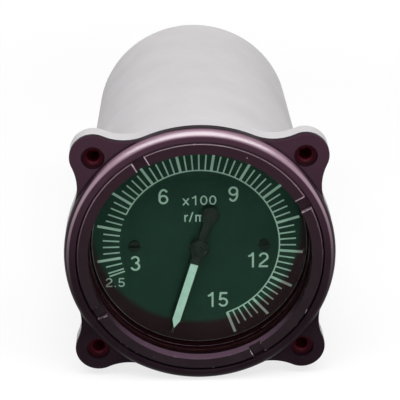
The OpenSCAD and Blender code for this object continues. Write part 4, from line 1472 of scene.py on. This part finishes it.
@dataclass(frozen=True)
class Stroke:
    """A stroke of a figure: an arc, a line, or an arc that runs on into a line.

    Attributes:
        arc: Centre across and up, radius across and up, first and last angle in degrees.
        line: Places across and up in turn.
    """

    arc: tuple[float, ...] = ()
    line: tuple[float, ...] = ()

    # Degrees that a flat of an arc spans, and the least flats in an arc
    FLAT_ANGLE: ClassVar[float] = 9.0
    LEAST_FLATS: ClassVar[int] = 8

    def points(self) -> list[Point]:
        """Draws the middle line of the stroke.

        Returns:
            Its points, in order.
        """
        drawn: list[Point] = []
        if self.arc:
            x, z, width, height, first, last = self.arc
            steps = max(self.LEAST_FLATS, int(abs(last - first) / self.FLAT_ANGLE))
            angles = [math.radians(first + (last - first) * k / steps) for k in range(steps + 1)]
            drawn += [(x + width * math.cos(a), z + height * math.sin(a)) for a in angles]
        return drawn + list(zip(self.line[::2], self.line[1::2]))


class Glyph(Enum):
    """Plain block figures in a box one unit high: letter, width with its space, strokes."""

    ZERO = ("0", 0.62, Stroke((0.31, 0.5, 0.235, 0.43, 90, 450)))
    ONE = (
        "1", 0.62, Stroke(line=(0.38, 0.0, 0.38, 1.0)),
        Stroke(line=(0.10, 0.74, 0.26, 0.81, 0.37, 0.95)),
    )
    TWO = (
        "2", 0.62,
        Stroke((0.31, 0.69, 0.235, 0.24, 170, -30), (0.10, 0.20, 0.075, 0.07, 0.58, 0.07)),
    )
    THREE = (
        "3", 0.62, Stroke((0.30, 0.725, 0.205, 0.205, 165, -90)),
        Stroke((0.30, 0.295, 0.24, 0.225, 90, -165)),
    )
    FIVE = (
        "5", 0.62, Stroke(line=(0.56, 0.93, 0.16, 0.93, 0.105, 0.47)),
        Stroke((0.305, 0.315, 0.24, 0.245, 140, -160)),
    )
    SIX = (
        "6", 0.62, Stroke((0.315, 0.31, 0.235, 0.24, 90, 450)),
        Stroke((0.335, 0.5, 0.255, 0.43, 205, 40)),
    )
    NINE = (
        "9", 0.62, Stroke((0.305, 0.69, 0.235, 0.24, 90, 450)),
        Stroke((0.285, 0.5, 0.255, 0.43, 25, -140)),
    )
    TIMES = (
        "x", 0.58, Stroke(line=(0.05, 0.0, 0.5, 0.72)), Stroke(line=(0.05, 0.72, 0.5, 0.0))
    )
    SLASH = ("/", 0.32, Stroke(line=(0.0, -0.02, 0.28, 1.02)))
    SMALL_R = (
        "r", 0.36, Stroke(line=(0.11, 0.0, 0.11, 0.72)),
        Stroke((0.36, 0.42, 0.25, 0.25, 180, 92)),
    )
    SMALL_M = (
        "m", 0.86, Stroke(line=(0.11, 0.0, 0.11, 0.72)),
        Stroke((0.265, 0.47, 0.155, 0.2, 180, 0), (0.42, 0.0)),
        Stroke((0.575, 0.47, 0.155, 0.2, 180, 0), (0.73, 0.0)),
    )
    SMALL_I = (
        "i", 0.22, Stroke(line=(0.11, 0.0, 0.11, 0.72)), Stroke(line=(0.11, 0.86, 0.11, 1.0))
    )
    SMALL_N = (
        "n", 0.56, Stroke(line=(0.11, 0.0, 0.11, 0.72)),
        Stroke((0.275, 0.45, 0.165, 0.22, 180, 0), (0.44, 0.0)),
    )
    DOT = (".", 0.26, Stroke(line=(0.12, 0.0, 0.12, 0.14)))

    def __init__(self, letter: str, advance: float, *strokes: Stroke) -> None:
        """Keeps what a figure is made of.

        Args:
            letter: The letter that stands for it in a legend.
            advance: Its width with its space.
            *strokes: Its strokes.
        """
        self.letter = letter
        self.advance = advance
        self.strokes = strokes


GLYPHS: dict[str, Glyph] = {glyph.letter: glyph for glyph in Glyph}


@dataclass(frozen=True)
class Legend:
    """A line of print on the dial.

    Attributes:
        text: Its figures.
        x: Its middle, to the right of the axis.
        z: Its middle, above the axis.
        height: Height of a figure.
        stroke: Width of its strokes.
        stretch: Widening of the figures and the gaps between them.
    """

    text: str
    x: float
    z: float
    height: float = 5.3
    stroke: float = 0.64
    stretch: float = 1.0


@dataclass
class DialFace:
    """The dial with its printed scale, figures and unit."""

    radius: float = 34.6
    rim_edge: float = 0.3
    rim_flats: int = 200
    hole_r: float = 2.0
    face_y: float = 0.2
    back_y: float = 1.2
    # Height of the print, and the small steps by which its strokes lie over each other
    print_h: float = 0.04
    layer_h: float = 0.002
    layers: int = 8
    zero_clock: float = 195.7
    clock_per_hundred: float = 21.6
    arc_r: float = 25.7
    minor_r: float = 31.0
    major_r: float = 33.3
    arc_w: float = 0.42
    minor_w: float = 0.46
    major_w: float = 0.85
    arc_start: float = 4.6
    arc_flats: int = 180
    # Marks in fifths of a hundred: those below the even run, and the run's first and last
    lone_fifths: tuple[float, ...] = (12.5, 13, 14)
    first_fifth: int = 15
    last_fifth: int = 75
    letter_gap: float = 0.1
    legends: tuple[Legend, ...] = (
        Legend("3", -20.66, -6.2),
        Legend("6", -11.4, 16.9),
        Legend("9", 10.85, 17.5),
        Legend("12", 18.75, -5.5),
        Legend("15", 5.7, -19.45),
        Legend("2.5", -27.3, -12.9, 3.2, 0.40, 1.15),
        Legend("x100", 0.1, 15.5, 3.25, 0.42, 1.22),
        Legend("r/min", 0.4, 9.8, 3.25, 0.42, 1.22),
    )
    layer: int = field(default=0, init=False)

    def build(self) -> None:
        """Builds the dial and everything printed on it."""
        plate = Shell()
        section = rounded_section(
            [
                Corner(self.hole_r, self.face_y, EASED_EDGE),
                # The rim's rounding is marked worn: rubbed paint and a painted highlight
                Corner(self.radius, self.face_y, self.rim_edge, 1.0),
                Corner(self.radius, self.back_y, EASED_EDGE),
                Corner(self.hole_r, self.back_y, EASED_EDGE),
            ]
        )
        plate.turn(section, self.rim_flats)
        plate.piece("painted_dial", DIAL_PAINT, Body.CASE, Slot.DIAL, "dial")
        scale = Shell()
        self.add_scale(scale)
        scale.piece("printed_scale", MARK_PAINT, Body.CASE, Slot.PRINT)
        figures = Shell()
        for legend in self.legends:
            self.add_legend(figures, legend)
        figures.piece("printed_figures", MARK_PAINT, Body.CASE, Slot.PRINT)

    def spot(self, value: float, r: float) -> Point:
        """Returns the place of a scale value at a radius."""
        clock = math.radians(self.zero_clock + self.clock_per_hundred * value)
        return (r * math.sin(clock), r * math.cos(clock))

    def add_scale(self, shell: Shell) -> None:
        """Adds the marks and the arc that joins them.

        Args:
            shell: Shell that gets them.
        """
        for fifth in [*self.lone_fifths, *range(self.first_fifth, self.last_fifth + 1)]:
            value = fifth / 5
            major = fifth % 5 == 0
            end_r = self.major_r if major else self.minor_r
            width = self.major_w if major else self.minor_w
            self.ribbon(shell, [self.spot(value, self.arc_r), self.spot(value, end_r)], width)
        step = (self.last_fifth / 5 - self.arc_start) / self.arc_flats
        values = [self.arc_start + step * k for k in range(self.arc_flats + 1)]
        self.ribbon(shell, [self.spot(value, self.arc_r) for value in values], self.arc_w)

    def add_legend(self, shell: Shell, legend: Legend) -> None:
        """Adds a line of figures.

        Args:
            shell: Shell that gets it.
            legend: The line.
        """
        glyphs = [GLYPHS[letter] for letter in legend.text]
        across = legend.height * legend.stretch
        length = sum(g.advance for g in glyphs) + self.letter_gap * (len(glyphs) - 1)
        left = legend.x - across * length / 2
        low = legend.z - legend.height / 2
        for glyph in glyphs:
            for stroke in glyph.strokes:
                line = [(left + across * x, low + legend.height * z) for x, z in stroke.points()]
                self.ribbon(shell, line, legend.stroke)
            left += (glyph.advance + self.letter_gap) * across

    def ribbon(self, shell: Shell, line: Sequence[Point], width: float) -> None:
        """Lays one stroke of print, a hair higher than the last so that crossings stay clean.

        Args:
            shell: Shell that gets it.
            line: Middle line of the stroke.
            width: Its width.
        """
        self.layer = (self.layer + 1) % self.layers
        top = self.face_y - self.print_h - self.layer_h * self.layer
        spots = [Vector(p) for p in line]
        ways = [(after - here).normalized() for here, after in zip(spots, spots[1:])]
        rows = []
        for here, before, after in zip(spots, [ways[0], *ways], [*ways, ways[-1]]):
            way = (before + after).normalized()
            mitre = max(way.dot(after), LEAST_MITRE)
            side = Vector((-way.y, way.x)) * width / 2 / mitre
            row = []
            for edge, out in ((here + side, side), (here - side, -side)):
                wall = [
                    shell.point(edge.x, self.face_y, edge.y, (out.x, 0, out.y)),
                    shell.point(edge.x, top, edge.y, (out.x, 0, out.y)),
                    shell.point(edge.x, top, edge.y, (0, -1, 0)),
                ]
                row += wall if not row else reversed(wall)
            rows.append(row)
        shell.grid(rows)


@dataclass
class SubAssembly:
    """Solids whose shape is right, with the finish that each gets.

    Attributes:
        nodes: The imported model's objects by node.
    """

    nodes: dict[str, bpy.types.Object]

    FINISHES: ClassVar[dict[Finish, tuple[str, ...]]] = {}

    def dress(self) -> None:
        """Gives every solid its finish."""
        for finish, names in self.FINISHES.items():
            for name in names:
                mesh = self.nodes[name].data
                mesh.materials.clear()
                mesh.materials.append(finish.material())
                LOG.info("%s: %s", name, finish.name)


class Case(SubAssembly):
    """The grey can with its glass, gaskets, anchor nuts and screws."""

    FINISHES = {
        GREY_ENAMEL: ("housing",),
        COVER_GLASS: ("glass",),
        RUBBER: ("flange_gasket",),
        OLD_RED_RUBBER: ("glass_gasket",),
        OXIDE_STEEL: ("anchor_nuts",),
        PLATED_STEEL: ("frame_screws", "rear_screws"),
    }


class Movement(SubAssembly):
    """The pointer's movement between its plates, up to the dial's screws and the pointer's lume."""

    FINISHES = {
        POINTER_PAINT: ("dial_screws",),
        POINTER_LUME: ("pointer_lume",),
        PLATED_STEEL: ("plate_screws", "magnet_screws", "pointer_spindle", "stop_arm", "stop_pin"),
        BRASS: (
            "dial_posts", "front_plate", "bearing_plate", "plate_pillars", "hairspring_collet",
            "hairspring_stud",
        ),
        SPRING_BRONZE: ("hairspring",),
        TURNED_ALLOY: ("damping_disc", "sensing_disc"),
        MAGNET_ALLOY: ("damping_magnets",),
        RUBY: ("front_jewel", "rear_jewel"),
    }


class Drive(SubAssembly):
    """The motor with the magnet plates that drag the sensing disc round."""

    FINISHES = {
        PLATED_STEEL: (
            "front_magnet_plate", "rear_magnet_plate", "motor_shaft", "hysteresis_discs",
            "bearing_inner_rings", "bearing_outer_rings", "bearing_balls", "tie_rods", "tie_nuts",
            "post_screws",
        ),
        BRASS: ("magnet_spacers", "rotor_sleeves"),
        WINDING_COPPER: ("stator_windings",),
        TURNED_ALLOY: (
            "motor_front_shield", "motor_rear_shield", "motor_tube", "chassis_sleeves",
            "rear_posts",
        ),
        MAGNET_ALLOY: ("drive_magnets", "rotor_magnets", "stator_core"),
        WIRE_SLEEVE: ("lead_wires",),
    }


class Connector(SubAssembly):
    """The screwed receptacle at the back."""

    FINISHES = {
        RUBBER: ("connector_gasket",),
        PLATED_STEEL: ("connector_screws",),
        BRASS: ("connector_pins",),
        TURNED_ALLOY: ("connector_shell",),
        PHENOLIC: ("connector_insulator",),
    }


def way_to(elevation: float, azimuth: float) -> Vector:
    """Returns the way to a height angle and an angle right of the front, both in degrees."""
    e, a = math.radians(elevation), math.radians(azimuth)
    return Vector((math.sin(a) * math.cos(e), -math.cos(a) * math.cos(e), math.sin(e)))


@dataclass(frozen=True)
class SoftBox:
    """A soft box that faces the object.

    Attributes:
        name: Name of the lamp.
        elevation: Its height angle.
        azimuth: Its angle to the right of the front.
        width: Its width.
        height: Its height.
        radiance: Brightness of its face, where white paper in plain light is 1.
        distance: Its distance.
        mirrored: Whether it shows in glossy surfaces.
    """

    name: str
    elevation: float
    azimuth: float
    width: float
    height: float
    radiance: float
    distance: float = 1000.0
    mirrored: bool = True

    # Station on the axis that every box is turned to
    AIM_Y: ClassVar[float] = 30.0

    def hang(self, scene: bpy.types.Scene) -> None:
        """Hangs the box.

        Args:
            scene: Scene that gets it.
        """
        data = bpy.data.lights.new(self.name, "AREA")
        data.shape = "RECTANGLE"
        data.size, data.size_y = self.width * MM, self.height * MM
        data.energy = self.radiance * math.pi * self.width * self.height * MM * MM
        way = way_to(self.elevation, self.azimuth)
        lamp = bpy.data.objects.new(self.name, data)
        lamp.location = (Vector((0.0, self.AIM_Y, 0.0)) + way * self.distance) * MM
        lamp.rotation_mode = "QUATERNION"
        lamp.rotation_quaternion = way.to_track_quat("Z", "Y")
        lamp.visible_glossy = self.mirrored
        scene.collection.objects.link(lamp)


@dataclass
class Studio:
    """Camera, lamps, white surroundings and paper floor."""

    elevation: float = 22.44
    azimuth: float = -1.03
    roll: float = -0.30
    distance: float = 540.0
    aim: tuple[float, float, float] = (0.23, -0.80, 15.99)
    lens: float = 153.45
    sensor: float = 36.0
    near_clip: float = 10.0
    # Strength of the soft light from all round, which the ceiling has in mirrors too
    ambient: float = 0.08
    # Height angles where the white wall ends and where the ceiling is reached
    wall_top: float = 14.0
    ceiling_start: float = 34.0
    floor_half: float = 3000.0
    # Places where the object touches the floor, along the axis and up
    floor_front: Point = (-5.6, -43.05)
    floor_back: Point = (125.0, -36.05)
    lamps: tuple[SoftBox, ...] = (
        SoftBox("overhead_box", 68.0, 0.0, 720.0, 800.0, 4.0),
        SoftBox("upper_left_box", 50.0, -56.0, 500.0, 285.0, 4.9),
        SoftBox("upper_right_box", 50.0, 56.0, 500.0, 285.0, 5.1),
        SoftBox("front_box", 2.0, 8.0, 200.0, 160.0, 27.5, 900.0, mirrored=False),
        SoftBox("rear_fill", 9.0, 180.0, 700.0, 300.0, 4.0, mirrored=False),
    )

    def build(self) -> None:
        """Sets the scene round the object."""
        scene = bpy.context.scene
        scene.view_settings.view_transform = "Standard"
        self.set_camera(scene)
        self.set_surroundings(scene)
        self.add_floor(scene)
        for lamp in self.lamps:
            lamp.hang(scene)

    def set_camera(self, scene: bpy.types.Scene) -> None:
        """Stands the camera where the photograph was taken from.

        Args:
            scene: Scene that gets it.
        """
        back = way_to(self.elevation, self.azimuth)
        right = Vector((0, 0, 1)).cross(back).normalized()
        up = back.cross(right)
        turn = math.radians(self.roll)
        across = right * math.cos(turn) + up * math.sin(turn)
        upright = up * math.cos(turn) - right * math.sin(turn)
        data = bpy.data.cameras.new("camera")
        data.lens = self.lens
        data.sensor_width = self.sensor
        data.clip_start = self.near_clip * MM
        camera = bpy.data.objects.new("camera", data)
        frame = Matrix((across, upright, back)).transposed().to_4x4()
        frame.translation = (Vector(self.aim) + back * self.distance) * MM
        camera.matrix_world = frame
        scene.collection.objects.link(camera)
        scene.camera = camera

    def set_surroundings(self, scene: bpy.types.Scene) -> None:
        """Makes white walls to look at and in mirrors, under a dim ceiling, and a weak soft light.

        Args:
            scene: Scene that gets them.
        """
        world = bpy.data.worlds.new("studio")
        scene.world = world
        world.use_nodes = True
        tree = world.node_tree
        tree.nodes.clear()
        way = add_node(tree, "ShaderNodeTexCoord").outputs["Generated"]
        height = add_node(tree, "ShaderNodeSeparateXYZ", Vector=way).outputs["Z"]
        span = [math.sin(math.radians(angle)) for angle in (self.wall_top, self.ceiling_start)]
        wall = add_node(tree, "ShaderNodeMapRange", SOFTLY, height, *span, 1.0, self.ambient)
        lit = seeing_rays(tree)
        strength = add_node(tree, "ShaderNodeMix", NUMBERS, lit, self.ambient, wall)
        glow = add_node(tree, "ShaderNodeBackground", Color=linear("#FFFFFF"), Strength=strength)
        add_node(tree, "ShaderNodeOutputWorld", Surface=glow)

    def add_floor(self, scene: bpy.types.Scene) -> None:
        """Lays the paper under the flange and the back of the can, which is how the object lies.

        Args:
            scene: Scene that gets it.
        """
        (y0, z0), (y1, z1) = self.floor_front, self.floor_back
        slope = (z1 - z0) / (y1 - y0)
        half = self.floor_half
        sides = ((-half, -half), (half, -half), (half, half), (-half, half))
        corners = [Vector((x, y, z0 + slope * (y - y0))) * MM for x, y in sides]
        mesh = bpy.data.meshes.new("paper_floor")
        mesh.from_pydata(corners, [], [(0, 1, 2, 3)])
        mesh.materials.append(PAPER.material())
        floor = bpy.data.objects.new("paper_floor", mesh)
        scene.collection.objects.link(floor)


def main() -> None:
    """Builds and dresses the object in order."""
    logging.basicConfig(level=logging.INFO, format="%(name)s: %(message)s")
    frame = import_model()
    Studio().build()
    for sub_assembly in (Case, Movement, Drive, Connector):
        sub_assembly(frame["nodes"]).dress()
    FrontFrame().build()
    RetainingRing().build()
    DialFace().build()
    Pointer().build()


if __name__ == "__main__":
    main()
